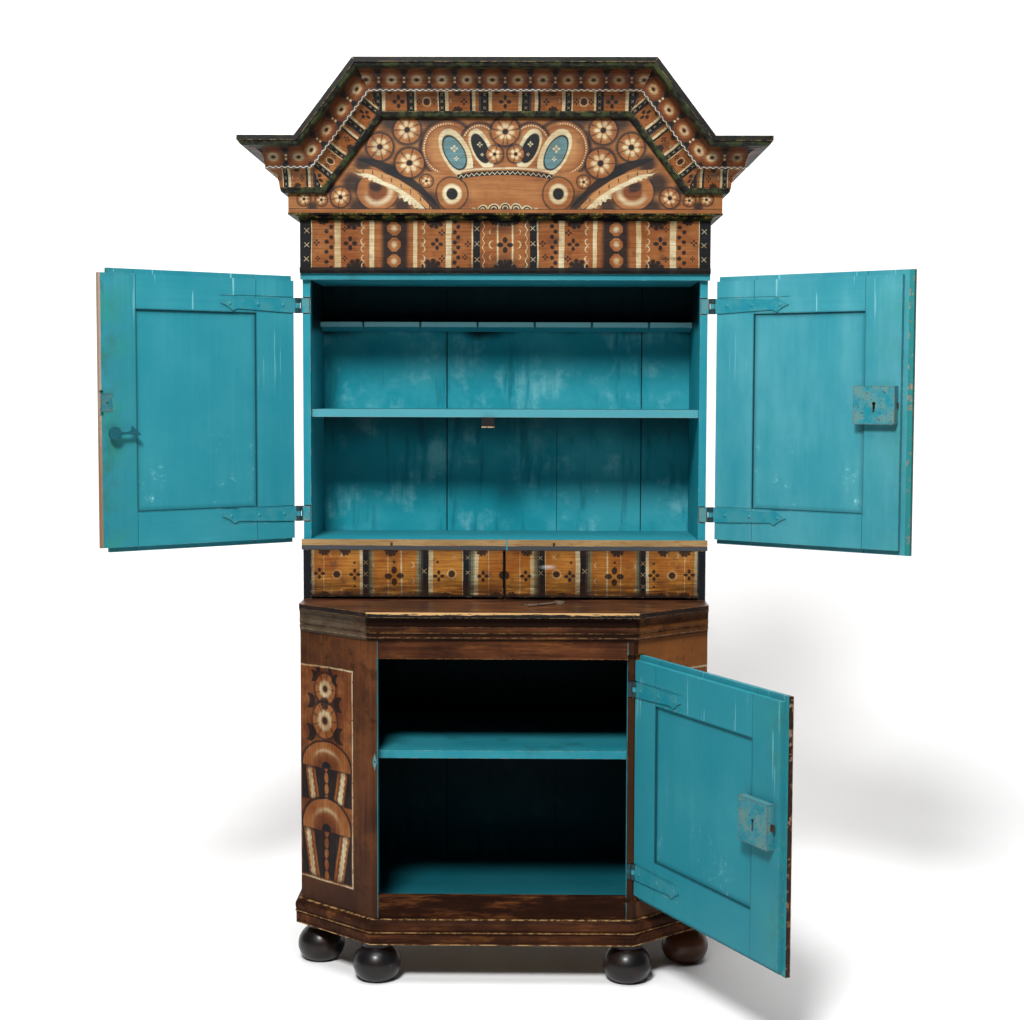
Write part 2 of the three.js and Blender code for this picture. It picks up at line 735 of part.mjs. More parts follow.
function door(name, spec) {
  const group = doorGroup([spec.side * -1 * spec.pivot[0], spec.pivot[1]], spec.turn);
  const { side, edge, inner, outerFree, low, high, stiles, rails } = spec;
  const at = (s) => side * (edge + s);
  const faceY = spec.face - spec.pivot[1];
  const midY = faceY - innerLayer;
  const frontY = midY - outerLayer;
  const window = [at(stiles[0]), at(inner - stiles[1]), low + rails[0], high - rails[1]];
  const leaf = join(
    box(at(0), at(inner), midY, faceY, low, high),
    box(at(0), at(outerFree), frontY, midY + seam, low - lipDown, high + spec.lipTop),
  );
  const opening = box(window[0], window[1], frontY - hingePlay, faceY + hingePlay, window[2], window[3]);
  const grooveBack = faceY - panelSink + panelPlay;
  const grooveFront = grooveBack - panelThickness - panelPlay * 2;
  const groove = box(
    window[0] - side * (panelTongue + panelPlay), window[1] + side * (panelTongue + panelPlay), grooveFront,
    grooveBack, window[2] - panelTongue - panelPlay, window[3] + panelTongue + panelPlay,
  );
  const sticking = stickingCut(window, side, frontY);
  const rounding = standing(
    [[at(-hingePlay), frontY - hingePlay], [at(edgeRound + hingePlay), frontY - hingePlay],
      [at(-hingePlay), frontY + edgeRound + hingePlay]],
    0,
    hoodBottom,
  );
  const gains = spec.hinges.map((z) => strapRecess(side, faceY, z, edge));
  place(`door_frame_${name}`, cut(leaf, opening, groove, ...sticking, rounding, ...gains, ...spec.cuts(at, faceY)),
    "paint", group);
  const panel = box(
    window[0] - side * panelTongue, window[1] + side * panelTongue, grooveFront + panelPlay,
    grooveBack - panelPlay, window[2] - panelTongue, window[3] + panelTongue,
  );
  place(`door_panel_${name}`, panel, "paint", group);
  spec.hinges.forEach((z, i) => {
    const end = i === 0 ? "bottom" : "top";
    place(`hinge_strap_${name}_${end}`, hingeStrap(side, faceY, z, edge), "iron", group);
    place(`hinge_leaf_${name}_${end}`, hingeLeaf(side, spec, z), "iron");
  });
  return { group, at, faceY };
}

// The sticking: a hollow cut round the outer edge of the panel opening, mitred at its corners
function stickingCut(window, side, frontY) {
  const [x0, x1] = [Math.min(window[0], window[1]), Math.max(window[0], window[1])];
  const [z0, z1] = [window[2], window[3]];
  const flare = (grow, y) => [
    [x0 - grow, y, z0 - grow], [x1 + grow, y, z0 - grow], [x1 + grow, y, z1 + grow], [x0 - grow, y, z1 + grow],
  ];
  const spots = [
    ...flare(stickingReach, frontY - seam), ...flare(stickingReach, frontY),
    ...flare(stickingReach * 0.35, frontY + stickingRise * 0.45), ...flare(0, frontY + stickingRise),
  ];
  const index = [0, 1, 2, 0, 2, 3];
  for (let ring = 0; ring < 3; ring++) {
    for (let k = 0; k < 4; k++) {
      const a = ring * 4 + k;
      const b = ring * 4 + ((k + 1) % 4);
      index.push(b, a, a + 4, b, a + 4, b + 4);
    }
  }
  index.push(12, 14, 13, 12, 15, 14);
  const geometry = new THREE.BufferGeometry();
  geometry.setAttribute("position", new THREE.Float32BufferAttribute(spots.flat(), 3));
  geometry.setIndex(index);
  return [outward(geometry)];
}

// Strap hinges: the strap turns with the door, the leaf with its pin stays on the case
const strapStart = knuckleRadius + eyeClearance;

function strapRecess(side, faceY, z, edge) {
  const half = hingeRise / 2 + hingePlay;
  const deep = faceY - (strapThickness - strapProud) - seam;
  const room = knuckleRadius + hingePlay / 2;
  const tools = [
    box(0, side * (strapLength - spadeLength), deep, faceY + hingePlay, z - half, z + half),
    box(side * (strapLength - spadeLength - hingePlay), side * (strapLength + hingePlay), deep, faceY + hingePlay,
      z - spadeHalf - hingePlay, z + spadeHalf + hingePlay),
  ];
  if (edge < room) {
    tools.push(box(-side * room, side * room, -room, faceY + hingePlay, z - half, z + half));
  }
  return join(tools[0], ...tools.slice(1));
}

function hingeStrap(side, faceY, z, edge) {
  const [y0, y1] = [faceY - (strapThickness - strapProud), faceY + strapProud];
  const rootHalf = hingeRise / 2;
  const neck = strapLength - spadeLength;
  const shape = new THREE.Shape();
  shape.moveTo(strapStart, -rootHalf);
  shape.lineTo(strapLength * 0.4, -rootHalf * 0.82);
  shape.quadraticCurveTo(neck * 0.8, -strapNeck * 0.55, neck, -strapNeck / 2);
  shape.quadraticCurveTo(neck + spadeLength * 0.1, -spadeHalf * 0.8, neck + spadeLength * 0.3, -spadeHalf);
  shape.quadraticCurveTo(neck + spadeLength * 0.55, -spadeHalf * 0.35, strapLength, 0);
  shape.quadraticCurveTo(neck + spadeLength * 0.55, spadeHalf * 0.35, neck + spadeLength * 0.3, spadeHalf);
  shape.quadraticCurveTo(neck + spadeLength * 0.1, spadeHalf * 0.8, neck, strapNeck / 2);
  shape.quadraticCurveTo(neck * 0.8, strapNeck * 0.55, strapLength * 0.4, rootHalf * 0.82);
  shape.lineTo(strapStart, rootHalf);
  const flat = new THREE.ExtrudeGeometry(shape, { depth: y1 - y0, bevelEnabled: false, curveSegments: 4 });
  flat.rotateX(Math.PI / 2).translate(0, y1, z);
  if (side < 0) {
    flat.rotateY(Math.PI).translate(0, 0, z * 2);
  }
  const eyeHalf = hingeRise / 6 - seam;
  const eye = upright(knuckleRadius, 0, 0, z - eyeHalf, z + eyeHalf);
  const tongue = box(0, side * (strapStart + hingePlay), y0, y1, z - eyeHalf, z + eyeHalf);
  const bore = upright(pinRadius + pinPlay, 0, 0, z - hingeRise, z + hingeRise);
  return cut(join(flat, eye, tongue), bore);
}

function hingeLeaf(side, spec, z) {
  const [px, py] = [-side * spec.pivot[0], spec.pivot[1]];
  const y0 = spec.strip + leafInset;
  const y1 = y0 + leafThickness;
  const third = hingeRise / 6 + seam / 2;
  const half = hingeRise / 2;
  const plate = box(px + side * strapStart, px + side * spec.leafReach, y0, y1, z - half, z + half);
  const parts = [-1, 1].flatMap((end) => [
    upright(knuckleRadius, px, py, ...(end < 0 ? [z - half, z - third] : [z + third, z + half])),
    box(px, px + side * (strapStart + eyeClearance), y0, y1, ...(end < 0 ? [z - half, z - third] : [z + third, z + half])),
  ]);
  return join(plate, ...parts, upright(pinRadius, px, py, z - half, z + half));
}

// Door sizes
const upperLow = deckTop + doorGap;
const upperHigh = topBoardBottom - doorGap;
const lowerLow = bottomRailTop + doorGap;
const lowerHigh = topRailBottom - doorGap;
const upperEdge = upperPivot[0] - lapHalf + doorSetIn;
const meeting = 9;
const lapWidth = 23;
const lapPlay = 2;
const lapClearance = 1;
const upperStiles = [100, 88];
const upperRails = [78, 78];
const lowerStiles = [92, 100];
const lowerRails = [98, 90];
const upperLeafReach = 28;
const lowerLeafReach = 16;
const leftInner = lapHalf - doorSetIn + meeting;
const rightInner = lapHalf - doorSetIn - meeting - meetingPlay;

const lockRise = 324;
const keeperHeight = deckTop + lockRise;
const keeperWidth = 30;
const keeperRise = 40;
const keeperThickness = 1.6;
const notchWidth = 9;
const notchDepth = 4;
const notchRise = 56;
const latchRise = 257;
const latchHeight = deckTop + latchRise;
const latchInset = 29;

const left = door("upper_left", {
  side: 1, pivot: upperPivot, turn: -leftDoorOpen, edge: upperEdge, face: doorRebate - doorPlay, strip: doorRebate,
  inner: leftInner, outerFree: leftInner - lapWidth - lapPlay, low: upperLow, high: upperHigh, lipTop: lipUp + doorGap,
  stiles: upperStiles, rails: upperRails, hinges: hingeHeights.upper, leafReach: upperLeafReach,
  cuts: (at, faceY) => [
    box(at(leftInner - lapWidth - lapPlay), at(leftInner + hingePlay), faceY - innerLayer - outerLayer - hingePlay,
      faceY - innerLayer + lapClearance, deckBottom, friezeBottom),
    box(at(leftInner - keeperWidth - seam), at(leftInner + hingePlay), faceY - keeperThickness - seam,
      faceY + hingePlay, keeperHeight - keeperRise / 2 - seam, keeperHeight + keeperRise / 2 + seam),
    box(at(leftInner - notchWidth), at(leftInner + hingePlay), faceY - notchDepth - keeperThickness, faceY + hingePlay,
      keeperHeight - notchRise / 2, keeperHeight + notchRise / 2),
  ],
});
const right = door("upper_right", {
  side: -1, pivot: upperPivot, turn: rightDoorOpen, edge: upperEdge, face: doorRebate - doorPlay, strip: doorRebate,
  inner: rightInner, outerFree: rightInner + lapWidth, low: upperLow, high: upperHigh, lipTop: lipUp + doorGap,
  stiles: upperStiles, rails: upperRails, hinges: hingeHeights.upper, leafReach: upperLeafReach, cuts: () => [],
});
const lowerEdge = 0.5;
const lowerInner = lowerPivot[0] - lowerEdge + openingHalf - doorGap;
const lower = door("lower", {
  side: -1, pivot: lowerPivot, turn: lowerDoorOpen, edge: lowerEdge, face: lowerFront + doorRebate - doorPlay,
  strip: hingeStrip, inner: lowerInner, outerFree: lowerInner + lowerLip, low: lowerLow, high: lowerHigh,
  lipTop: lipUp + doorGap, stiles: lowerStiles, rails: lowerRails, hinges: hingeHeights.lower,
  leafReach: lowerLeafReach,
  cuts: () => [],
});

// Box locks: a case with bent ends and a bolt that slides out of it
const lockPlate = 2.2;
const lockDepth = 18;
const boltInside = 40;
const upperLock = { width: 100, rise: 85, gap: 5, shown: 2 };
const lowerLock = { width: 105, rise: 92, gap: 16, shown: 7 };
const upperBoltLift = 5;

function boxLock(name, holder, spec) {
  const { side, free, size, height, lift } = spec;
  const { width, rise, gap, shown } = size;
  const depth = lockDepth;
  const { group, at, faceY } = holder;
  const base = faceY + seam;
  const [near, far] = [at(free - gap - width), at(free - gap)];
  const body = box(near, far, base, base + depth, height - rise / 2, height + rise / 2);
  const room = box(
    near + side * lockPlate, far - side * lockPlate, base - seam, base + depth - lockPlate,
    height - rise / 2 + lockPlate, height + rise / 2 - lockPlate,
  );
  const boltY = faceY + lift;
  const mouth = box(
    far - side * lockPlate * 2, far + side * lockPlate, boltY - boltThickness / 2 - seam,
    boltY + boltThickness / 2 + seam, height - boltRise / 2 - seam, height + boltRise / 2 + seam,
  );
  const keyhole = box(
    (near + far) / 2 - slotWidth / 2, (near + far) / 2 + slotWidth / 2, base + depth - lockPlate * 2,
    base + depth + lockPlate, height - rise * 0.18, height + rise * 0.04,
  );
  const keyEye = bored(slotWidth * 0.8, (near + far) / 2, height + rise * 0.04, base + depth - lockPlate * 2,
    base + depth + lockPlate, 12);
  place(`lock_case_${name}`, cut(body, room, mouth, keyhole, keyEye), "iron", group);
  const bolt = box(
    far - side * boltInside, far + side * shown, boltY - boltThickness / 2,
    boltY + boltThickness / 2, height - boltRise / 2, height + boltRise / 2,
  );
  place(`lock_bolt_${name}`, bolt, "bare", group);
}

boxLock("upper_right", right, {
  side: -1, free: rightInner, size: upperLock, height: keeperHeight, lift: upperBoltLift,
});
boxLock("lower", lower, {
  side: -1, free: lowerInner, size: lowerLock, height: lowerLockHeight, lift: lowerBoltLift,
});

// Keeper plate on the left door, and the strike on the lower jamb
const keeper = cut(
  box(left.at(leftInner - keeperWidth), left.at(leftInner - notchWidth * 0.4), left.faceY - keeperThickness,
    left.faceY, keeperHeight - keeperRise / 2, keeperHeight + keeperRise / 2),
  bored(
    screwRadius, left.at(leftInner - keeperWidth * 0.6), keeperHeight, left.faceY - hingePlay * 2,
    left.faceY + hingePlay, 10,
  ),
);
place("keeper_plate", keeper, "iron", left.group);

const strikeShape = shapeOf([
  [-stripMiddle - strikeHalf, strikeHeight], [-stripMiddle, strikeHeight - strikeRise / 2],
  [-stripMiddle + strikeHalf, strikeHeight], [-stripMiddle, strikeHeight + strikeRise / 2],
]);
const strike = cut(
  facing(strikeShape, lowerFront + seam, lowerFront + strikeThickness),
  bored(screwRadius, -stripMiddle, strikeHeight, lowerFront - hingePlay, lowerFront + hingePlay * 2, 10),
);
place("jamb_strike", strike, "iron");

// Turn latch of the left door, and the block under the middle shelf that it lifts behind
const latchBoss = 15;
const latchPost = 6;
const latchPlate = 4;
const latchBossProud = 1;
const latchStandoff = 12.5;
const latchArm = 62;
const latchBarb = 16;
const latchGroup = new THREE.Group();
latchGroup.position.set(left.at(leftInner - latchInset), left.faceY + seam, latchHeight);
left.group.add(latchGroup);
const armShape = new THREE.Shape();
armShape.moveTo(0, -latchPost);
armShape.lineTo(-latchArm * 0.45, -latchPost * 0.4);
armShape.quadraticCurveTo(-latchArm * 0.7, -latchPost * 0.6, -latchArm * 0.82, -latchPost * 0.9);
armShape.lineTo(-latchArm, -latchPost * 0.7);
armShape.quadraticCurveTo(-latchArm * 0.9, latchPost * 0.6, -latchArm * 0.64, latchBarb);
armShape.quadraticCurveTo(-latchArm * 0.68, latchPost * 0.7, -latchArm * 0.42, latchPost * 0.45);
armShape.lineTo(0, latchPost);
const boss = join(
  bored(latchPost, 0, 0, 0, latchStandoff + latchPlate, 16),
  bored(latchBoss, 0, 0, latchStandoff, latchStandoff + latchPlate + latchBossProud, 20),
  facing(armShape, latchStandoff, latchStandoff + latchPlate),
);
place("turn_latch", boss, "iron", latchGroup);

const blockWidth = 30;
const blockTop = middleShelfTop - middleShelfThickness - seam;
const blockHead = 6;
const blockLip = 18;
const blockLipThickness = 8;
const blockSetback = 3;
const blockFront = doorRebate + blockSetback;
const blockSeat = 24;
const blockMiddle = -40;
const blockOutline = [
  [blockFront, blockTop - blockHead - blockLip], [blockFront + blockLipThickness, blockTop - blockHead - blockLip],
  [blockFront + blockLipThickness, blockTop - blockHead], [middleShelfFront + blockSeat, blockTop - blockHead],
  [middleShelfFront + blockSeat, blockTop], [blockFront, blockTop],
];
place("latch_block", crossing(blockOutline, blockMiddle - blockWidth / 2, blockMiddle + blockWidth / 2), "black");

// The key, lying on the waist board
const keyLength = 112;
const keyShank = 2.3;
const keyBowOuter = 13;
const keyBowInner = 8;
const keyBitLength = 15;
const keyBitWidth = 16;
const keyBitInset = 2;
const keyTip = 1;
const keyBowLap = 3;
const keyGroup = new THREE.Group();
const keySpot = [98, -98];
const keyTurn = 42 * degree;
keyGroup.position.set(keySpot[0], keySpot[1], waistTop + seam + keyShank);
keyGroup.rotation.z = keyTurn;
model.add(keyGroup);
const shankLength = keyLength - keyBowOuter * 2 + keyTip + keyBowLap;
const shank = new THREE.CylinderGeometry(keyShank, keyShank, shankLength, 12).rotateZ(Math.PI / 2);
shank.translate(-keyBowOuter + (keyBowLap - keyTip) / 2, 0, 0);
const bowShape = new THREE.Shape();
bowShape.absellipse(0, 0, keyBowOuter, keyBowOuter * 1.15, 0, Math.PI * 2);
const bowHole = new THREE.Path();
bowHole.absellipse(0, 0, keyBowInner, keyBowInner * 1.25, 0, Math.PI * 2);
bowShape.holes.push(bowHole);
const bow = new THREE.ExtrudeGeometry(bowShape, { depth: keyShank * 2, bevelEnabled: false, curveSegments: 12 });
bow.translate(keyLength / 2 - keyBowOuter, 0, -keyShank);
const bitFar = -keyLength / 2 + keyBitInset;
const bit = box(bitFar, bitFar + keyBitLength, 0, keyBitWidth, -keyShank * 0.7, keyShank * 0.7);
const ward = box(
  bitFar + keyBitLength * 0.4, bitFar + keyBitLength * 0.6, keyBitWidth * 0.5, keyBitWidth * 1.2, -keyShank * 2,
  keyShank * 2,
);
place("key", cut(join(shank, bow, bit), ward), "bare", keyGroup);

// The whole is set with the middle of its footprint on the origin
model.updateMatrixWorld(true);
const bounds = new THREE.Box3().setFromObject(model);
const middle = bounds.getCenter(new THREE.Vector3());
model.position.set(-middle.x, -middle.y, -bounds.min.z);

export default model;
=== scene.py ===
import functools
import math
import bmesh
import bpy
from mathutils import Matrix, Vector


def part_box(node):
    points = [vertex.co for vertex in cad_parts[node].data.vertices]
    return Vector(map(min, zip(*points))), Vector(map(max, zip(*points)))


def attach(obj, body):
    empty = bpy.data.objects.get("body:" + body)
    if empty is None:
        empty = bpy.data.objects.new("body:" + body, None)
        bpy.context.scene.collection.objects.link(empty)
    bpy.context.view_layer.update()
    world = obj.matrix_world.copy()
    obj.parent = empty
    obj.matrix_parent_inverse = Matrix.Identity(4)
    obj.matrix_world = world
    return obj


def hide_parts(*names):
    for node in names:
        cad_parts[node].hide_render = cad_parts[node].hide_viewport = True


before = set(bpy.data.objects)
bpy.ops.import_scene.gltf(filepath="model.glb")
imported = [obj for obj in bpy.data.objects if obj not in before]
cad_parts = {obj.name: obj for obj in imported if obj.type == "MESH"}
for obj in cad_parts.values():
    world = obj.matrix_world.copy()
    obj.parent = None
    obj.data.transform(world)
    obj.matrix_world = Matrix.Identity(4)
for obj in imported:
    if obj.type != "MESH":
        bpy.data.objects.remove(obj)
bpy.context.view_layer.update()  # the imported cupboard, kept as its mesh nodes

# The joiner's own measure: millimetres, X from the middle of the case, Y from the
# front of the upper case towards the wall, Z from the floor.
deckLow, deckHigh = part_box("deck_board")
mm = 0.001
caseShift = Vector(((deckLow.x + deckHigh.x) / 2, deckLow.y, 0))

mixes = {  # paints as mixed, 0 to 255
    "teal": (38, 123, 135), "tealDeep": (26, 116, 130), "tealPale": (72, 156, 166),
    "tealGreen": (44, 128, 112), "tealChalk": (140, 196, 202), "tealFresh": (22, 138, 152),
    "tealInk": (12, 62, 72), "tealShade": (2, 14, 18), "rimTeal": (34, 112, 112),
    "orange": (138, 90, 50), "orangeDeep": (98, 55, 29), "orangePale": (162, 121, 77),
    "ochre": (167, 116, 50), "cream": (190, 184, 154), "blueBlack": (19, 22, 26),
    "greyGreen": (104, 110, 90), "beanBlue": (84, 122, 132), "bottleGreen": (50, 58, 30),
    "slate": (58, 59, 61), "redBrown": (84, 47, 26), "darkBrown": (38, 18, 8),
    "warmBrown": (126, 80, 40), "greyBrown": (86, 75, 60), "umber": (24, 10, 5),
    "bareWood": (186, 148, 98), "greyWood": (142, 124, 104), "dustyWood": (168, 142, 110),
    "pinkWood": (152, 130, 114), "blackAndShade": (14, 13, 14), "varnish": (204, 174, 140),
    "rust": (112, 60, 32), "iron": (70, 62, 56), "white": (226, 224, 216),
    "amber": (146, 90, 42), "mist": (136, 138, 112), "straw": (136, 114, 76),
}


def linear(part):  # one channel of a paint as light
    part = part / 255
    return part / 12.92 if part <= 0.04045 else ((part + 0.055) / 1.055) ** 2.4


paints = {name: (*map(linear, mix), 1) for name, mix in mixes.items()}


# Sums on shader sockets

def feed(target, value):  # a field, a paint by name or a plain value
    if isinstance(value, Field):
        value.tree.links.new(value.socket, target)
    else:
        target.default_value = paints[value] if isinstance(value, str) else value


def node(kind, inputs, output=0, **settings):
    tree = next(value.tree for value in inputs.values() if isinstance(value, Field))
    made = tree.nodes.new("ShaderNode" + kind)
    for name, value in settings.items():
        setattr(made, name, value)
    for name, value in inputs.items():
        if value is not None:
            feed(made.inputs[name], value)
    return Field(tree, made.outputs[output])


def every(field):  # all outputs of the node behind a field
    return [Field(field.tree, socket) for socket in field.socket.node.outputs]


def maths(kind, *values):
    return node("Math", dict(enumerate(values)), operation=kind)


class Field:  # a socket that sums can be written on
    def __init__(self, tree, socket):
        self.tree = tree
        self.socket = socket

    __add__ = __radd__ = lambda self, other: maths("ADD", self, other)
    __mul__ = __rmul__ = lambda self, other: maths("MULTIPLY", self, other)
    __sub__ = lambda self, other: maths("SUBTRACT", self, other)
    __rsub__ = lambda self, other: maths("SUBTRACT", other, self)
    __truediv__ = lambda self, other: maths("DIVIDE", self, other)
    __abs__ = lambda self: maths("ABSOLUTE", self)

    def lay(self, over, amount):  # another coat of paint on this one
        self.socket = blend(self, over, amount).socket

    def glaze(self, over, amount):  # darkened through a thin coat
        self.socket = blend(self, over, amount, "MULTIPLY").socket


def most(*values, kind="MAXIMUM"):
    return functools.reduce(functools.partial(maths, kind), values)


def least(*values):
    return most(*values, kind="MINIMUM")


def rise(value, low, high, toLow=0, toHigh=1):  # soft step from low to high
    amounts = dict(enumerate((value, low, high, toLow, toHigh)))
    return node("MapRange", amounts, interpolation_type="SMOOTHSTEP")


def fall(value, low, high):
    return rise(value, low, high, 1, 0)


def near(value, middle, half, soft=0.4):  # 1 within half of the middle
    return fall(abs(value - middle), half - soft, half + soft)


def between(value, low, high, soft=0.4):
    return near(value, (low + high) / 2, (high - low) / 2, soft)


def vectors(kind, first, second=None, scale=None):
    output = "Value" if kind in ("LENGTH", "DISTANCE", "DOT_PRODUCT") else "Vector"
    return node("VectorMath", {0: first, 1: second, "Scale": scale}, output, operation=kind)


def joined(x, y, z=0):
    return node("CombineXYZ", {0: x, 1: y, 2: z})


def parted(vector):
    return every(node("SeparateXYZ", {0: vector}))


def axes(vector):  # X and Y alone, for the stamps
    return [vectors("DOT_PRODUCT", vector, way) for way in ((1, 0, 0), (0, 1, 0))]


def length(x, y):
    return vectors("LENGTH", joined(x, y))


def apart(point, at):
    return vectors("DISTANCE", point, (*at, 0))


def repeat(value, high, low=None):  # the same stretch over and over
    return maths("WRAP", value, high, -high if low is None else low)


def noise(vector, scale, detail=2, rough=0.5):
    return node("TexNoise", {"Vector": vector, "Scale": scale, "Detail": detail,
                             "Roughness": rough}, "Fac")


def streaks(point, stretch, detail=4, rough=0.7, scale=1):  # noise drawn out one way
    return noise(vectors("MULTIPLY", point, stretch), scale, detail, rough)


def patches(point, scale, detail, rough, low, high):  # 1 where the noise is over high
    return rise(noise(point, scale, detail, rough), low, high)


def blend(under, over, amount, way="MIX"):
    return node("Mix", {0: amount, 6: under, 7: over}, 2, data_type="RGBA", blend_type=way)


def stripes(value, span, bands):  # bands: (start, paint)
    made = node("ValToRGB", {0: value / span})
    ramp = made.socket.node.color_ramp
    ramp.interpolation = "CONSTANT"
    ramp.elements.remove(ramp.elements[1])
    ramp.elements[0].position = bands[0][0] / span
    ramp.elements[0].color = paints[bands[0][1]]
    for start, name in bands[1:]:
        ramp.elements.new(start / span).color = paints[name]
    return made


# Effects shared by the materials, each a node group

socketKinds = {"Vector": ("Point", "Stretch", "At", "Long", "Short"),
               "Color": ("Colour", "Deep", "Chalk", "Pale")}


def newSockets(tree, way, labels):
    for label in labels:
        kind = next((kind for kind in socketKinds if label in socketKinds[kind]), "Float")
        tree.interface.new_socket(name=label, in_out=way, socket_type="NodeSocket" + kind)


def shared(name, inputs, outputs):  # builds a group from the function below it
    def groupOf(build):
        tree = bpy.data.node_groups.new(name, "ShaderNodeTree")
        takes, gives = inputs.split(), outputs.split()
        newSockets(tree, "INPUT", takes)
        newSockets(tree, "OUTPUT", gives)
        entry = tree.nodes.new("NodeGroupInput")
        leave = tree.nodes.new("NodeGroupOutput")
        results = build(*(Field(tree, entry.outputs[label]) for label in takes))
        for label, value in zip(gives, results if len(gives) > 1 else [results]):
            feed(leave.inputs[label], value)

        def use(*values):
            made = every(node("Group", dict(enumerate(values)), node_tree=tree))
            return made if len(gives) > 1 else made[0]
        return use
    return groupOf


@shared("Brushed paint", "Point Stretch Streaks Colour Deep Chalk", "Colour Height")
def brushed(point, stretch, share, colour, deep, chalk):
    streak = streaks(point, stretch, 5, 0.65)
    cloud = noise(point, 0.0055, 4, 0.55)
    speck = noise(point, 0.35, 2, 0.6)
    tone = streak * share + cloud * (1 - share)
    made = blend(deep, colour, rise(tone, 0.34, 0.62))
    made.lay(chalk, rise(tone, 0.56, 0.8) * 0.4)
    return made, streak * 0.6 + speck * 0.2


@shared("Wood grain", "Point Stretch Pale Deep", "Colour Height")
def grain(point, stretch, pale, deep):  # bare board: rings drawn out along the grain
    run = vectors("MULTIPLY", point, stretch)
    bend = noise(run, 0.5, 2)
    rings = node("TexWave", {"Vector": vectors("ADD", run, joined(bend, bend, bend)),
                             "Scale": 0.35, "Distortion": 3, "Detail": 3}, "Fac",
                 wave_type="BANDS")
    tone = rings * 0.45 + noise(run, 3, 4, 0.7) * 0.55
    return blend(deep, pale, rise(tone, 0.25, 0.75)), tone


@shared("Edge wear", "Point Radius Above", "Edge Worn")
def wear(point, radius, above):  # 1 on rubbed arrises, ragged inwards
    rounded = node("Bevel", {"Radius": radius}, samples=4)
    flat = point.tree.nodes.new("ShaderNodeNewGeometry").outputs["Normal"]
    agree = vectors("DOT_PRODUCT", rounded, Field(point.tree, flat))
    ragged = noise(point, 0.09, 4, 0.7)
    edge = rise(1 - agree, 0.02, 0.2)
    return edge, edge * rise(ragged, above, above + 0.06)


@shared("Scratches", "Point Stretch", "Mark")
def scratches(point, stretch):  # short pale knocks, mostly across the light
    knocks = streaks(point, stretch, 3, 0.65)
    return rise(knocks, 0.68, 0.74) * patches(point, 0.011, 2, 0.5, 0.5, 0.62)


@shared("Aged varnish", "Point Stretch Colour Amount", "Colour Height")
def aged(point, stretch, colour, amount):  # brown varnish and rubbed grain
    grime = noise(point, 0.009, 5, 0.62)
    hairs = streaks(point, stretch, 5, 0.75, 2.2)
    spots = noise(point, 0.12, 4, 0.75)
    made = blend(colour, "varnish", rise(grime, 0.35, 0.68) * amount, "MULTIPLY")
    made.glaze("varnish", rise(hairs, 0.4, 0.6) * amount * 0.8)
    made.lay("darkBrown", rise(hairs, 0.6, 0.7) * amount * 0.6)
    made.lay("dustyWood", fall(hairs, 0.3, 0.37) * amount * 0.3)
    made.lay("darkBrown", rise(spots, 0.68, 0.72) * amount * 0.6)
    smoke = noise(point, 0.028, 4, 0.6)
    made.lay("blueBlack", rise(smoke, 0.52, 0.74) * amount * 0.6)
    return made, hairs


def rubArrises(colour, point, radius, above, strength):  # rubbed to the bare wood
    colour.lay("bareWood", wear(point, radius * mm, above)[1] * strength)


# The painter's stamps, each read about its own middle

def about(point, at, size):
    return vectors("SCALE", vectors("SUBTRACT", point, at), scale=maths("DIVIDE", 1, size))


@shared("Four petals", "Point At Size", "Mask")
def petals(point, at, size):  # a cross with a small gap in the middle
    x, y = axes(vectors("ABSOLUTE", about(point, at, size)))
    return fall(length((most(x, y) - 0.6) / 0.4, least(x, y) / 0.3), 0.8, 1.1)


@shared("Saltire", "Point At Size", "Mask")
def saltire(point, at, size):
    x, y = axes(vectors("ABSOLUTE", about(point, at, size)))
    return fall(abs(x - y), 0.08, 0.22) * fall(most(x, y), 0.9, 1.05)


@shared("Crescent", "Point At Size Fat", "Mask")
def crescent(point, at, size, fat):  # bulges to +X, tapered at its tips
    away = about(point, at, size)
    x = axes(away)[0]
    band = abs(vectors("LENGTH", away) - 0.8)
    return rise(x * fat - band, -0.02, 0.05)


@shared("Fan", "Point At Size", "Mask")
def fan(point, at, size):  # short dark strokes about its middle
    away = about(point, at, size)
    comb = maths("SINE", maths("ARCTAN2", *axes(away)) * 9)
    far = vectors("LENGTH", away)
    lobe = fall(far + comb * 0.06, 0.9, 1)
    return lobe * (1 - rise(comb, 0.8, 1) * rise(far, 0.5, 0.75) * 0.7)


@shared("Rosette", "Point At Size Count", "Disc Cream Dark Ring")
def rosette(point, at, size, count):  # shaded disc, cream petals, dark seams and eye
    away = about(point, at, size)
    far = vectors("LENGTH", away)
    comb = maths("SINE", maths("ARCTAN2", *axes(away)) * count)
    petal = fall(far - (comb * 0.1 + 0.6), -0.16, 0.05) * rise(far, 0.22, 0.32)
    petal = petal * rise(comb + far * 0.3, -0.9, 0.2)
    seam = fall(comb, -0.97, -0.8) * rise(far, 0.4, 0.6)
    return (fall(far, 0.93, 1), petal,
            most(fall(far, 0.17, 0.25), seam * fall(far, 0.9, 1) * 0.7),
            rise(far, 0.78, 1) * fall(far, 1.02, 1.25))


@shared("Ringed spot", "Point At Size", "Cream Dark")
def ringed(point, at, size):  # dark spot in a thin cream ring
    far = vectors("LENGTH", about(point, at, size))
    return near(far, 0.88, 0.07, 0.05), fall(far, 0.6, 0.68)


@shared("Oval", "Point At Long Short", "X Y Far")
def ovalAbout(point, at, long, short):  # place in the oval and distance, 1 on its rim
    away = vectors("SUBTRACT", point, at)
    x, y = (vectors("DOT_PRODUCT", away, way) for way in (long, short))
    return x, y, length(x, y)


def oval(point, at, radii, lean=0):
    c, s = math.cos(math.radians(lean)), math.sin(math.radians(lean))
    return ovalAbout(point, (*at, 0), (c / radii[0], s / radii[0], 0),
                     (-s / radii[1], c / radii[1], 0))


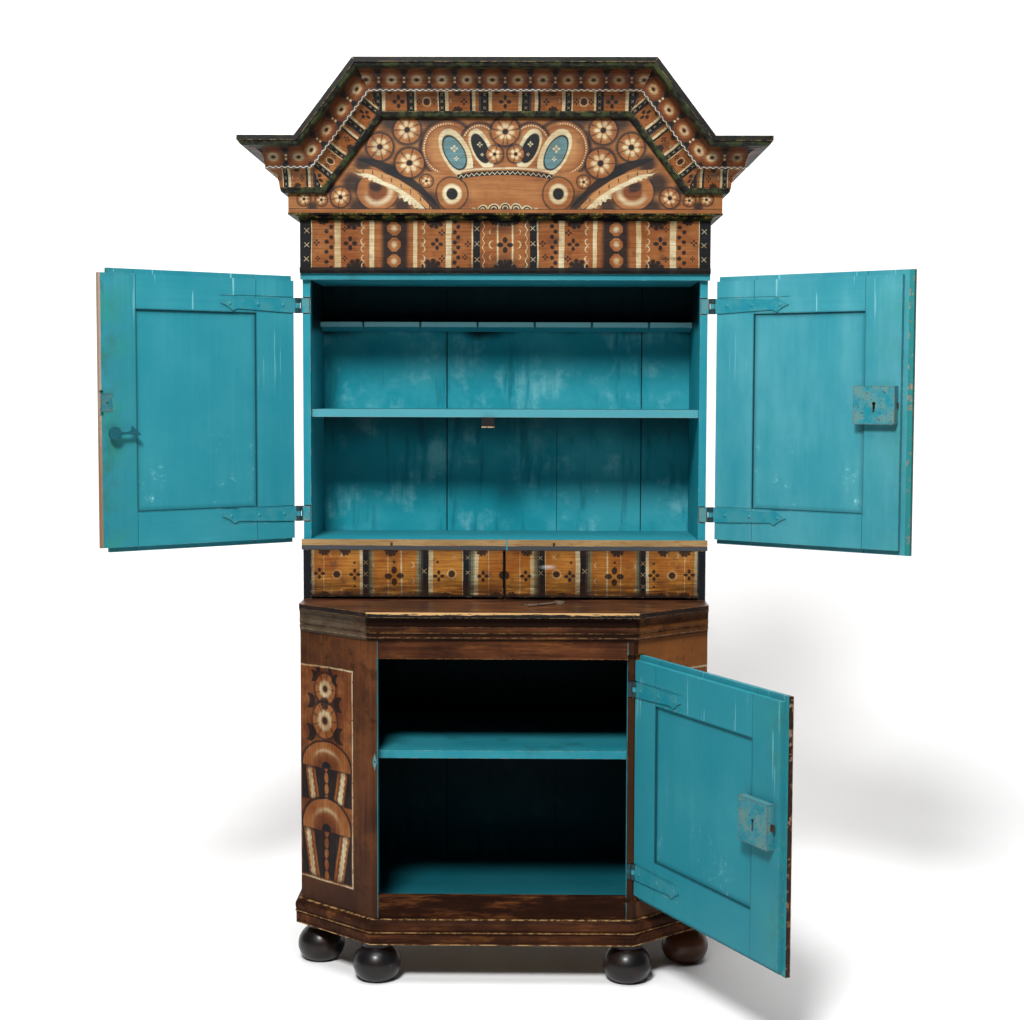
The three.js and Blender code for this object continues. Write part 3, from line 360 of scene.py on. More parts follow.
def stamped(mask, stamp, point, spots, *more):  # one stamp at every spot, on a mask
    for at, size in spots:
        made = stamp(point, (*at, 0), size, *more)
        mask = made if mask is None else most(mask, made)
    return mask


def column(across, z, at, pitch, start):  # repeats one stamp up a column
    return joined(across - at, repeat(z - start, pitch / 2))


def painted(point, size):  # X from the middle, Z, by an unsteady hand
    first = noise(point, 0.013, 2) - 0.5
    second = noise(vectors("ADD", point, (310, 170, 90)), 0.016, 2) - 0.5
    reach = size * 4
    moved = vectors("ADD", point, joined(first * reach, 0, second * reach))
    return parted(moved)[::2]


# Materials

def newPaint(name, coat=0, metallic=0, specular=0.2):
    material = bpy.data.materials.new(name)
    material.use_nodes = True
    tree = material.node_tree
    tree.nodes.clear()
    output = tree.nodes.new("ShaderNodeOutputMaterial")
    shader = tree.nodes.new("ShaderNodeBsdfPrincipled")
    for label, value in (("Metallic", metallic), ("Coat Weight", coat), ("Coat Roughness", 0.25),
                         ("Specular IOR Level", specular)):
        shader.inputs[label].default_value = value
    tree.links.new(shader.outputs[0], output.inputs[0])
    return material, tree, shader


def measured(tree, shift, turn, scale):  # Object coordinates as millimetres
    coordinates = tree.nodes.new("ShaderNodeTexCoord").outputs["Object"]
    return node("Mapping", {"Vector": Field(tree, coordinates), "Location": shift,
                            "Rotation": (0, 0, turn), "Scale": scale})


def casePaint(name, coat=0, metallic=0, specular=0.2):
    material, tree = newPaint(name, coat, metallic, specular)[:2]
    return material, measured(tree, -caseShift / mm, 0, (1 / mm, 1 / mm, 1 / mm))


def finish(material, colour, height, rough, strength=0.25):
    inputs = material.node_tree.nodes["Principled BSDF"].inputs
    feed(inputs["Base Color"], colour)
    feed(inputs["Roughness"], rough)
    feed(inputs["Normal"], node("Bump", {"Strength": strength, "Distance": 0.4 * mm,
                                         "Height": height}))
    return material


def cover(material, *names):  # give CAD nodes or new pieces one finish
    for name in names:
        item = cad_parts[name] if isinstance(name, str) else name
        item.data.materials.clear()
        item.data.materials.append(material)


def newObject(name, data, material=None):
    if isinstance(data, bmesh.types.BMesh):
        mesh, data = data, bpy.data.meshes.new(name)
        mesh.to_mesh(data)
        mesh.free()
    item = bpy.data.objects.new(name, data)
    bpy.context.scene.collection.objects.link(item)
    if material:
        cover(material, item)
    return item


def newPiece(name, mesh, body, material):
    piece = newObject(name, mesh, material)
    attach(piece, body)
    return piece


along = {"x": (0.004, 0.12, 0.12), "z": (0.12, 0.12, 0.004)}


def brushedTeal(point, way):
    return brushed(point, along[way], 0.3, "teal", "tealDeep", "tealPale")


def brushedBrown(point, way):
    return brushed(point, along[way], 0.45, "redBrown", "darkBrown", "amber")


def bareBoard(point, way, light="bareWood", dark="warmBrown"):
    return grain(point, along[way], light, dark)


# Insides: teal boards

def buildTealBoard():
    material, point = casePaint("teal_board_wide")
    colour, height = brushedTeal(point, "x")
    worn = wear(point, 1.6 * mm, 0.5)[1]
    colour.lay("tealChalk", scratches(point, along["x"]) * 0.5)
    colour.lay("bareWood", worn)
    colour.glaze("greyGreen", patches(point, 0.012, 3, 0.5, 0.5, 0.75) * 0.4)
    return finish(material, colour, height - worn * 0.5, 0.42 + height * 0.3)


cover(buildTealBoard(), "top_board", "lower_shelf")
levels = {"underside": 142.6, "lowerCase": (860, 880), "bayTop": (1486, 1512),
          "underShelf": (1190, 1285, 1290), "lowBay": (150, 420)}


def ragged(point, scale, reach):  # an uneven shift of an edge
    return (noise(point, scale, 3) - 0.5) * reach


def beneath(z):  # bare dark wood under the lower floor
    return fall(z, levels["underside"], levels["underside"] + 0.6)


def blackAndShade(point, z, shelfShade):  # painted shade in the bays: high up, under the shelf, low down
    level = z + ragged(point, 0.008, 60)
    # painted shade under the top board, under the middle shelf and through the lower case
    top = rise(level, *levels["bayTop"]) * 0.97
    low, high, shelf = levels["underShelf"]
    middle = rise(level, low, high) * fall(z, shelf - 1, shelf) * shelfShade
    dim = rise(level, *levels["lowBay"]) * 0.19 + 0.78
    return most(top, middle, fall(z, *levels["lowerCase"]) * dim)


def buildFloor():  # teal on top, with painted shade, darker to the back
    material, point = casePaint("teal_floor", specular=0.1)
    colour, height = brushedTeal(point, "x")
    y, z = parted(point)[1:]
    # painted shade: darker all over and more towards the back of the lower bay
    colour.lay("tealShade", rise(y + ragged(point, 0.01, 120), -190, 60) * 0.3 + 0.25)
    colour.lay(bareBoard(point, "x", "dustyWood", "darkBrown")[0], beneath(z))
    return finish(material, colour, height, 0.5)


cover(buildFloor(), "lower_floor")


def buildShelf(name, pale):  # front edge lighter as a painted highlight, plate rubs on the edge
    front = (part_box(name)[0][1] - caseShift.y) / mm
    material, point = casePaint("teal_" + name)
    colour, height = brushedTeal(point, "x")
    # painted highlight on the front edge, as strong as pale
    colour.lay("tealChalk", fall(parted(point)[1], front + 0.8, front + 1.6) * pale)
    edge, worn = wear(point, 2 * mm, 0.44)
    colour.lay("tealChalk", edge * 0.35)
    colour.lay("greyWood", worn)
    return finish(material, colour, height, 0.42 + height * 0.3)


cover(buildShelf("middle_shelf", 0.15), "middle_shelf")
cover(buildShelf("spoon_shelf", 0.8), "spoon_shelf")

deckLook = {"edge": (0.5, 1.5), "slate": (986, 987.5), "nails": (-268, 118),
            "nailLevel": 987, "seam": 6}


def buildDeck():  # teal on top; the front edge is yellow over slate
    material, point = casePaint("deck_paint")
    x, y, z = parted(point)
    colour, height = brushedTeal(point, "x")
    wood, woodHeight = bareBoard(point, "x")
    front = fall(y, *deckLook["edge"])
    slate = fall(z + noise(point, 0.02, 3) * 5, *deckLook["slate"])
    face = blend("straw", wood, 0.2)
    face.lay("warmBrown", rise(streaks(point, (0.02, 0.1, 0.3)), 0.5, 0.6) * 0.7)
    nails = most(*(near(x, at, 3, 1) for at in deckLook["nails"]))
    face.lay("blackAndShade", nails * near(z, deckLook["nailLevel"], 5, 1.5) * 0.9)
    face.lay("slate", slate)
    colour.lay(face, front)
    colour.lay("teal", near(x, deckLook["seam"], 1.8, 0.4) * front)
    return finish(material, colour, height + woodHeight * front, 0.55)


cover(buildDeck(), "deck_board")

# The case sides: teal inside and on the upper front edge, brown outside

sideLook = {"inside": (461, 461.6), "upper": (973.5, 974.5), "frontEdge": (12.6, 13.2),
            "besideDrawers": (857, 974), "backFromEdge": (20, 50), "darkened": (14, 60)}


def buildSides():
    material, point = casePaint("case_sides", specular=0.09)
    x, y, z = parted(point)
    teal, tealHeight = brushedTeal(point, "z")
    brown, brownHeight = brushedBrown(point, "z")
    inside = fall(abs(x), *sideLook["inside"])
    upper = rise(z, *sideLook["upper"])
    teal.lay("tealFresh", rise(y, *sideLook["backFromEdge"]) * 0.6)
    # painted light: the left board lighter inside, where the lamp leaves its inner face unlit
    teal.lay("tealPale", rise(y, *sideLook["backFromEdge"]) * fall(x, 0, 1) * 0.5)
    # painted shade high in the top bay and in the lower case
    teal.lay("tealShade", blackAndShade(point, z, 0) * rise(y, *sideLook["darkened"]))
    teal.lay("darkBrown", beneath(z))
    colour = blend(brown, teal, most(inside, fall(y, *sideLook["frontEdge"]) * upper))
    colour.lay("blueBlack", between(z, *sideLook["besideDrawers"])
               * fall(y, *sideLook["frontEdge"]))
    colour.lay("tealChalk", scratches(point, along["z"]) * inside * 0.5)
    rubArrises(colour, point, 1.8, 0.5, 0.8)
    return finish(material, colour, blend(brownHeight, tealHeight, inside), 0.5)


cover(buildSides(), "side_board_left", "side_board_right")

backLook = {"outside": (284.5, 286), "damp": (120, 420),
            "joints": ((-149, 1.2, 0.5), (340, 1, 0.4)),  # place, half width, softness
            "crack": (128, 0.7, 0.3), "crackLevel": (1240, 1300)}


def buildBack():  # teal boards inside, bare aged pine to the wall
    material, point = casePaint("back_boards", specular=0.06)
    x, y, z = parted(point)
    colour, height = brushedTeal(point, "z")
    pine = bareBoard(point, "z")[0]
    shake = most(*(near(x, *joint) for joint in backLook["joints"]),
                 near(x, *backLook["crack"]) * fall(z, *backLook["crackLevel"]))
    chalky = patches(point, 0.006, 4, 0.6, 0.4, 0.7)
    runs = streaks(point, (0.035, 0.035, 0.005), 4, 0.6)
    bloom = patches(point, 0.007, 5, 0.65, 0.5, 0.66) * rise(runs, 0.35, 0.6)
    colour.lay("tealFresh", 0.6 + chalky * 0.1)
    colour.lay("tealPale", chalky * 0.45)
    colour.lay("tealChalk", bloom * 0.4)
    colour.lay("tealInk", fall(runs, 0.3, 0.45) * 0.35)
    colour.lay("tealDeep", patches(point, 0.05, 3, 0.75, 0.66, 0.7) * 0.5)
    # painted shade high in the top bay, under the middle shelf and in the lower case
    colour.lay("tealShade", blackAndShade(point, z, 0.75))
    colour.lay("darkBrown", beneath(z))
    colour.lay("blackAndShade", shake)
    pine.lay("dustyWood", patches(point, 0.004, 4, 0.6, 0.35, 0.65) * 0.5 + 0.2)
    pine.lay("darkBrown", fall(z + ragged(point, 0.01, 160), *backLook["damp"]) * 0.45)
    colour.lay(pine, rise(y, *backLook["outside"]))
    return finish(material, colour, height - shake, 0.5)


cover(buildBack(), "back_boards")

# Brown carcass. Painted shade in the quirks and under the overhang: low, high, strength.
# Painted highlights along the crests, coloured as rubbed wood: level, strength.

railLooks = {
    "brown_rail": {"nodes": ("top_rail",)},
    "dark_rail": {"nodes": ("bottom_rail",), "darkened": 0.9},
    "waist_brown": {"nodes": ("waist_moulding",), "darkened": 0.25, "greyed": 1,
                    "quirkShade": ((822, 850, 0.97), (800.5, 807, 0.9), (787, 793, 0.8)),
                    "crestHighlights": ((808, 0.35), (797.5, 0.4))},
    "base_brown": {"nodes": ("base_moulding",), "darkened": 0.48,
                   "quirkShade": ((116, 120, 0.8), (143, 152, 0.6), (97, 101, 0.5)),
                   "crestHighlights": ((150.5, 0.5), (122, 0.5), (94, 0.8))},
}
waistEnds = (304, 312)  # where the moulding turns along the cants


def buildRail(name, look):
    darkened, greyed = look.get("darkened", 0), look.get("greyed", 0)
    material, point = casePaint(name, specular=0.07 - darkened * 0.04)
    colour, height = brushedBrown(point, "x")
    edge, worn = wear(point, 2.2 * mm, 0.47)
    colour.lay("warmBrown", most(scratches(point, along["x"]), edge) * 0.5)
    colour.lay("bareWood", worn * 0.75)
    smear = streaks(point, (0.006, 0.03, 0.03), 5)
    colour.lay("amber", rise(smear, 0.54, 0.7) * 0.3)
    colour.lay("darkBrown", patches(point, 0.01, 4, 0.6, 0.48, 0.7) * 0.7)
    colour.lay("umber", fall(smear, 0.34, 0.48) * 0.7)
    # darker all over, by the share darkened
    colour.lay("umber", (1 - rise(smear, 0.5, 0.62) * 0.6) * darkened)
    uneven = noise(point, 0.03, 3)
    x, z = parted(point)[::2]
    leftEnd = fall(x, -waistEnds[1], -waistEnds[0]) * greyed
    rightEnd = rise(x, *waistEnds) * greyed
    patchy = rise(uneven, 0.35, 0.6)
    colour.lay("greyBrown", leftEnd * (patchy * 0.4 + 0.45))
    colour.lay("warmBrown", rightEnd * (patchy * 0.3 + 0.1))
    rough = height * 0.3 + 0.42
    # painted shade in the quirks and under the waist board's overhang
    for low, high, strength in look.get("quirkShade", ()):
        dark = between(z + (uneven - 0.5) * 4, low, high, 1.2) * strength
        dark = dark * (1 - most(leftEnd * 0.8, rightEnd * 0.6))
        colour.lay("umber", dark)
        rough = rough + dark * 0.3
    # painted highlight along each crest, in rubbed-wood colour
    for level, strength in look.get("crestHighlights", ()):
        rubbed = patches(point, 0.06, 4, 0.7, 0.42, 0.6)
        colour.lay("bareWood", near(z, level, 1.1, 0.6) * rubbed * strength)
    return finish(material, colour, height - worn, rough)


for name, look in railLooks.items():
    cover(buildRail(name, look), *look["nodes"])

waistLook = {"front": (-246, -244.5), "middle": 852, "underside": (854, 855)}


def buildWaist():  # polished brown top, front arris rubbed to the wood
    material, point = casePaint("waist_top", 0.12)
    y, z = parted(point)[1:]
    colour, height = brushedBrown(point, "x")
    front = fall(y, *waistLook["front"])
    fleck = streaks(point, (0.03, 0.2, 0.3), 5, 0.75) + (z - waistLook["middle"]) * 0.05
    smear = streaks(point, (0.008, 0.05, 0.05), 5)
    colour.lay("umber", fall(smear, 0.4, 0.54) * 0.75)
    colour.lay("warmBrown", rise(smear, 0.55, 0.66) * 0.5)
    colour.lay(blend("blackAndShade", "bareWood", rise(fleck, 0.46, 0.51)), front)
    # painted shade: black on the underside, under the overhang
    colour.lay("blackAndShade", (1 - front) * fall(z, *waistLook["underside"]) * 0.8)
    rubArrises(colour, point, 3, 0.44, 0.5)
    return finish(material, colour, height, 0.28 + height * 0.25)


cover(buildWaist(), "waist_board")

# Feet

brownFoot = (420, 470)  # from here outwards, the right outer foot


def buildFeet():  # thick black paint, brown where it has gone thin
    material, point = casePaint("foot_black", 0.3)
    cloud = noise(point, 0.02, 4, 0.6)
    turned = streaks(point, (0.02, 0.02, 0.6), 3, 0.5)
    chip = patches(point, 0.07, 4, 0.75, 0.68, 0.71)
    brown = rise(parted(point)[0] + cloud * 160, *brownFoot)
    colour = blend("blackAndShade", "darkBrown", most(rise(cloud, 0.4, 0.75) * 0.8, brown))
    colour.lay("redBrown", brown * 0.6)
    colour.lay("greyWood", chip * 0.3)
    return finish(material, colour, turned * 0.6 + cloud * 0.5, 0.3 + cloud * 0.2)


footTurning = {"steps": 72, "rounds": 4,  # the outline in shares of radius and height
               "outline": ((0.52, 0), (0.66, 0.03), (0.86, 0.14), (0.98, 0.3), (1, 0.42),
                           (0.96, 0.56), (0.84, 0.7), (0.7, 0.79), (0.62, 0.83), (0.58, 0.86),
                           (0.6, 0.9), (0.6, 1))}


def rounded(points, parts):  # a smooth run through the points
    made = []
    last = len(points) - 1
    for index in range(last):
        before, start, end, after = (Vector(points[min(max(index + step, 0), last)])
                                     for step in (-1, 0, 1, 2))
        for part in range(parts):
            t = part / parts
            made.append((start * 2 + (end - before) * t
                         + (before * 2 - start * 5 + end * 4 - after) * t * t
                         + (start * 3 - before - end * 3 + after) * t * t * t) / 2)
    return made + [Vector(points[-1])]


def turnedFoot(low, high):
    radius, tall = (high.x - low.x) / 2, high.z - low.z
    middle = ((low.x + high.x) / 2, (low.y + high.y) / 2, 0)
    outline = rounded(footTurning["outline"], footTurning["rounds"])
    mesh = bmesh.new()
    verts = [mesh.verts.new((middle[0] + share.x * radius, middle[1], low.z + share.y * tall))
             for share in [Vector((0, 0))] + outline + [Vector((0, 1))]]
    edges = [mesh.edges.new(pair) for pair in zip(verts, verts[1:])]
    bmesh.ops.spin(mesh, geom=verts + edges, cent=middle, axis=(0, 0, 1),
                   angle=2 * math.pi, steps=footTurning["steps"], use_merge=True)
    bmesh.ops.remove_doubles(mesh, verts=mesh.verts, dist=1e-6)
    bmesh.ops.recalc_face_normals(mesh, faces=mesh.faces)
    for face in mesh.faces:
        face.smooth = abs(face.normal.z) < 0.999
    return mesh


footBlack = buildFeet()
for spot in ("front_left", "front_right", "side_left", "side_right"):
    mesh = turnedFoot(*map(Vector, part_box("foot_" + spot)))
    foot = newPiece("turned_foot_" + spot, mesh, "case", footBlack)
    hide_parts("foot_" + spot)

# Ironwork

ironLooks = {  # how much rust, dark paint over the teal, its colour
    "strap_iron": (0.2, 0, "blueBlack"),
    "lock_iron": (1, 0, "blueBlack"),
    "leaf_iron": (1, 0.85, "blueBlack"),
    "latch_iron": (0.3, 0.8, "tealInk"),
    "keeper_iron": (0.8, 0.3, "blueBlack"),
}
jambSpan = (455, 480)  # on the jamb itself the leaves are teal again


def paintedIron(name):
    rusty, darkened, dark = ironLooks[name]
    material, point = casePaint(name)
    cloud = noise(point, 0.03, 3, 0.6)
    pits = noise(point, 0.22, 4, 0.7)
    colour = blend("tealDeep", "teal", rise(cloud, 0.35, 0.6))
    edge, worn = wear(point, (1.2 + rusty * 2.6) * mm, 0.62 - rusty * 0.2)
    colour.lay("greyGreen", rise(cloud, 0.45, 0.65) * rusty * 0.35)
    bare = most(worn, rise(pits, 0.72 - rusty * 0.1, 0.76 - rusty * 0.1))
    colour.lay("mist", rise(cloud, 0.3, 0.6) * rusty * 0.14)
    colour.lay("tealInk", rise(pits, 0.56, 0.64) * rusty * 0.6)
    # painted shade: a dark outline on every edge, for the gaps round the iron
    colour.lay("tealInk", edge * 0.75)
    eaten = edge * patches(point, 0.07, 4, 0.7, 0.46, 0.56) * rusty
    colour.lay("rust", eaten * 0.9)
    colour.lay(blend("rust", "iron", rise(pits, 0.4, 0.6)), bare)
    free = 1 - between(abs(parted(point)[0]), *jambSpan, 1)
    colour.lay(dark, rise(cloud, 0.2, 0.42) * free * darkened)
    return finish(material, colour, pits * 0.6 - bare * 0.5, 0.42 + bare * 0.25, 0.3)


strapIron, lockIron, leafIron = map(paintedIron, ("strap_iron", "lock_iron", "leaf_iron"))
for side in ("upper_left", "upper_right", "lower"):
    for level in ("bottom", "top"):
        cover(strapIron, f"hinge_strap_{side}_{level}")
        cover(leafIron, f"hinge_leaf_{side}_{level}")
cover(lockIron, "lock_case_upper_right", "lock_case_lower", "jamb_strike")
cover(paintedIron("latch_iron"), "turn_latch")
cover(paintedIron("keeper_iron"), "keeper_plate")


def buildBareIron(name, metallic, pale):
    material, point = casePaint(name, 0, metallic)
    cloud = noise(point, 0.08, 4, 0.65)
    colour = blend("iron", "rust", rise(cloud, 0.52, 0.66) * 0.7)
    colour.lay("greyWood", rise(cloud, 0.36, 0.5) * pale)
    return finish(material, colour, cloud, 0.35 + cloud * 0.3)


cover(buildBareIron("bare_iron", 0.8, 0), "lock_bolt_upper_right", "lock_bolt_lower")
cover(buildBareIron("key_iron", 0.35, 0.5), "key")


divider = {"half": 6, "frontEnd": (22, 24)}


def buildPine():  # the divider's front end is black, painted shade in the split between the drawers
    material, point = casePaint("drawer_pine")
    x, y = parted(point)[:2]
    colour, height = bareBoard(point, "x", "bareWood", "dustyWood")
    colour.lay("warmBrown", patches(point, 0.012, 3, 0.5, 0.5, 0.7) * 0.4)
    # painted shade: the front end black, in the split between the drawers
    colour.lay("blackAndShade", between(abs(x), -divider["half"], divider["half"])
               * fall(y, *divider["frontEnd"]))
    return finish(material, colour, height, 0.6)


cover(buildPine(), "drawer_box_left", "drawer_box_right", "drawer_divider")


latchLip = (1266.5, 1268)


def buildLatchBlock():  # sooted iron catch, its lip rubbed bright
    material, point = casePaint("latch_black")
    mottle = noise(point, 0.2, 3)
    rubbed = fall(parted(point)[2], *latchLip) * rise(mottle, 0.35, 0.5)
    return finish(material, blend("blackAndShade", "dustyWood", rubbed), mottle, 0.6)


cover(buildLatchBlock(), "latch_block")

# Doors

upperDoor = {"stiles": (100, 88), "height": (1001.5, 1609.5), "rails": (78, 78),
             "face": -1.3, "straps": (1059.5, 1551.5), "firstNail": 39}
doors = {  # closed door: s from the pivot, y, z
    "upper_left": {"body": "left_door", "pivot": (-490, 12.6), "side": 1, "turn": -142.7,
                   "leaf": (10, 499), "rim": "redBrown", "chalk": 0.03, "grime": 1,
                   "bareArris": 4.4, **upperDoor},
    "upper_right": {"body": "right_door", "pivot": (490, 12.6), "side": -1, "turn": 143,
                    "leaf": (10, 480), "rim": "rimTeal", "chalk": 0.15, "grime": 0.3,
                    "bareArris": 0, **upperDoor},
    "lower": {"body": "lower_door", "pivot": (299.5, -214), "side": -1, "turn": 116,
              "leaf": (0.5, 579.5), "stiles": (92, 100), "height": (205.5, 745.5),
              "rails": (98, 90), "face": -0.7, "straps": (259, 679),
              "firstNail": 27, "rim": "darkBrown", "chalk": 0.02, "grime": 0.5,
              "bareArris": 0},
}
doorDepths = {"outer": (-21.6, -21.2), "sunk": (-11, -10), "rim": (-12.6, -12.2),
              "edge": (-20.6, -19.8)}  # behind the door's inner face
doorMarks = {  # from the head, from the free edge or past the panel
    "drips": (300, 60), "dirt": 40, "handled": 70, "outerLayer": (10.5, 11.5),
    "sunkField": 16, "bright": (1280, 1500),
}


def doorPlace(door):  # millimetres of the closed door to metres at rest
    mirror = Matrix.Diagonal((door["side"], 1, 1, 1))
    turn = Matrix.Rotation(math.radians(door["turn"]), 4, "Z")
    return (Matrix.Translation(caseShift) @ Matrix.Scale(mm, 4)
            @ Matrix.Translation((*door["pivot"], 0)) @ turn @ mirror)


def doorPaint(name, door):  # a new material, reading the closed door's place
    material, tree = newPaint(name)[:2]
    return material, measured(tree, doorPlace(door).inverted().translation,
                              -door["side"] * math.radians(door["turn"]),
                              (door["side"] / mm, 1 / mm, 1 / mm))


def behind(y, door, depth):
    return fall(y, *(door["face"] + part for part in doorDepths[depth]))


def buildDoor(name, door):
    material, point = doorPaint("door_" + name, door)
    s, y, z = parted(point)
    hinge, free = door["leaf"]
    foot, head = door["height"]
    left, right = hinge + door["stiles"][0], free - door["stiles"][1]
    bottom, top = foot + door["rails"][0], head - door["rails"][1]
    inStile = 1 - between(s, left, right, 0.2)
    inPanel = between(s, left - 3, right + 3) * between(z, bottom - 3, top + 3)
    rail = (1 - inStile) * (1 - inPanel)
    tall, tallHeight = brushedTeal(point, "z")
    wide, wideHeight = brushedTeal(point, "x")
    teal = blend(tall, wide, rail)
    height = tallHeight * (1 - rail) + wideHeight * rail
    # thin open joints where rails meet stiles
    joint = most(near(s, left, 0.7, 0.4), near(s, right, 0.7, 0.4)) * (1 - inPanel)
    joint = joint * patches(point, 0.03, 2, 0.5, 0.3, 0.45)
    # dark seam and shade where the sunk panel meets its frame
    inward = least(s - left, right - s, z - bottom, top - z)
    shade = fall(inward, 1, 14) * inPanel * 0.35
    joint = most(joint, near(inward, 0.5, 1.1, 0.6) * inPanel)
    # whitish runs on the upper rail and the stiles
    runs = streaks(point, (0.09, 0, 0.004), 2, 0.5)
    reach = streaks(point, (0.09, 0, 0), 1, 0.5, 1.7)
    drip = rise(runs, 0.63, 0.68) * rise(z, *(head - part for part in doorMarks["drips"]))
    drip = drip * rise(reach, 0.36, 0.5) * (1 - inPanel)
    # scuffs low on the panel
    scuff = patches(point, 0.05, 6, 0.8, 0.54, 0.72) * inPanel
    haze = streaks(point, (0.012, 0.012, 0.004), 4, 0.6)
    scuff = scuff * rise(haze, 0.4, 0.6) * fall(z, bottom, bottom + (top - bottom) * 0.5)
    haze = (rise(haze, 0.3, 0.8) + 0.25) * door["chalk"] + scuff * 0.7
    teal.lay("tealChalk", most(drip * 0.55, haze))
    teal.lay("tealInk", shade)
    # dirt and hand marks on the free stile
    dirt = patches(point, 0.012, 3, 0.5, 0.42, 0.7)
    teal.lay("tealGreen", dirt * rise(s, right - doorMarks["dirt"], free) * 0.75 * door["grime"])
    teal.lay("tealInk", rise(s, right, right + 6) * 0.12 * door["grime"])
    handled = rise(s, free - doorMarks["handled"], free)
    handled = handled * patches(point, 0.02, 5, 0.7, 0.4, 0.7)
    teal.lay("bottleGreen", handled * 0.45 * door["grime"])
    rubArrises(teal, point, 1.8, 0.55, 0.85)
    teal.lay("tealInk", joint * 0.85)
    # outer face: the red brown of the case with a field on the sunk panel
    past = doorMarks["sunkField"]
    sunk = between(s, left - past, right + past) * between(z, bottom - past, top + past)
    outside = most(behind(y, door, "outer"), sunk * behind(y, door, "sunk"))
    face = brushedBrown(point, "z")[0]
    face.lay("orangeDeep", inPanel * outside * 0.6)
    colour = blend(teal, face, outside)
    # the free edge: its own paint, worn to end grain, and a darker outer layer
    uneven = noise(point, 0.05, 4, 0.7)
    rim = rise(s, free + 0.4, free + 0.8) * (1 - rise(y, *(door["face"] + part for part
                                                            in doorDepths["rim"])))
    rimTone = blend(door["rim"], bareBoard(point, "z", "greyWood", "warmBrown")[0],
                    rise(uneven, 0.56, 0.62) * 0.7)
    outerLayer = rise(s, *(free + part for part in doorMarks["outerLayer"]))
    rim = most(rim * (1 - outside), outerLayer)
    colour.lay(rimTone, rim)
    colour.lay(blend("darkBrown", "warmBrown", rise(uneven, 0.4, 0.6)),
               rim * behind(y, door, "edge"))
    if door["bareArris"]:  # wood showing along the free arris
        worn = free - door["bareArris"]
        bare = blend("warmBrown", "pinkWood",
                     rise(z + uneven * 300, *doorMarks["bright"]) * 0.7 + 0.3)
        colour.lay(bare, rise(s + uneven * 4, worn + 1.4, worn + 2.4) * (1 - outside))
    return finish(material, colour, height - joint, 0.36 + height * 0.3)


for name, door in doors.items():
    cover(buildDoor(name, door), f"door_frame_{name}", f"door_panel_{name}")
print("doors painted")

# The painted ornament. Spots: place from the middle and above the floor, size.

centre = (0, 0, 0)
friezePaint = {
    "span": 480,
    "bands": [(0, "orange"), (14.5, "cream"), (17.5, "orange"), (57, "blueBlack"),
              (74, "cream"), (77, "orange"), (125, "cream"), (137, "orange"), (205, "cream"),
              (214, "orange"), (306, "cream"), (317, "orange"), (386, "cream"),
              (401, "orange"), (453, "cream"), (455, "blueBlack")],
    "crosses": [((363, 1697), 17), ((160, 1695), 15), ((0, 1693), 19), ((377, 1730), 7),
                ((377, 1661), 7), ((148, 1722), 8), ((148, 1661), 8), ((88, 1696), 8),
                ((94, 1665), 7), ((443, 1698), 8), ((440, 1661), 6)],
    "fans": [((357, 1752), 24), ((350, 1637), 24), ((164, 1752), 22), ((172, 1637), 25),
             ((0, 1634), 28), ((0, 1756), 22), ((22, 1754), 15), ((428, 1753), 14)],
    "dots": ((420, 1652), (409, 1663), (118, 1652), (110, 1664)),
    "saltires": ((466, 33), (65.5, 36)),  # columns of them: place, pitch
    "pairs": ((333, 1), (193, -1)),  # crescents back to back: place, side
    "crescents": [((26, 1694), 12), ((30, 1724), 7), ((30, 1664), 7)],
    "discs": [(261, 1730.5), (261, 1694), (261, 1656)],
    "smoke": [((0, 1752), 46), ((0, 1636), 50), ((62, 1748), 30), ((62, 1640), 30)],
    "discColumn": (259, 31, 7), "wavyLine": (50, 1, 0.5),
    "bead": (1640.2, 1641),
}
brushFat = 0.22  # how full a brushed crescent is


def buildFrieze():
    material, plain = casePaint("frieze_paint", specular=0.14)
    x, z = painted(plain, 1.6)
    wide = abs(x)
    flat = joined(wide, z)
    cloud = noise(plain, 0.02, 4, 0.6)
    colour = stripes(wide, friezePaint["span"], friezePaint["bands"])
    dark = near(wide, *friezePaint["discColumn"])  # soft, behind the discs
    dark = stamped(dark, petals, flat, friezePaint["crosses"])
    dark = stamped(dark, fan, flat, friezePaint["fans"])
    for at, start in friezePaint["dots"]:
        spot = vectors("LENGTH", column(wide, z, at, 24, start))
        dark = most(dark, fall(spot, 4.4, 5.6))
    colour.lay("blueBlack", dark * 0.94)
    cream = near(wide - maths("SINE", z * 0.31) * 2.2, *friezePaint["wavyLine"])
    for at, pitch in friezePaint["saltires"]:
        cream = most(cream, saltire(column(wide, z, at, pitch, 1660), centre, 6))
    for at, way in friezePaint["pairs"]:
        run = column(wide, z, at, 40, 1693)
        acrossRun, upRun = axes(run)
        folded = joined(acrossRun * way, abs(upRun) - 9)
        cream = most(cream, crescent(folded, (-3, 0, 0), 9, brushFat),
                     saltire(run, centre, 5))
    cream = stamped(cream, crescent, flat, friezePaint["crescents"], brushFat)
    for at, reach in friezePaint["smoke"]:  # soot-dark shading in the corners
        colour.lay("blueBlack", fall(apart(flat, at), reach * 0.3, reach) * 0.6)
    colour.lay("cream", cream * 0.85)
    for at in friezePaint["discs"]:  # corners cut, shading to a pale middle
        away = vectors("ABSOLUTE", vectors("SUBTRACT", flat, (*at, 0)))
        ax, ay = axes(away)
        pale = blend("orange", "cream", fall(vectors("LENGTH", away), 1, 11) * 0.9)
        colour.lay(pale, fall(most(ax, ay, (ax + ay) * 0.75), 15, 16.6))
    colour, hair = aged(plain, along["x"], colour, 0.9)
    bead = fall(parted(plain)[2], *friezePaint["bead"])
    colour.lay("blackAndShade", bead * 0.97)
    rubArrises(colour, plain, 1.6, 0.6, 0.6)
    return finish(material, colour, hair + dark * 0.15 + cream * 0.2,
                  0.4 + cloud * 0.2 + bead * 0.3)


cover(buildFrieze(), "frieze_board")

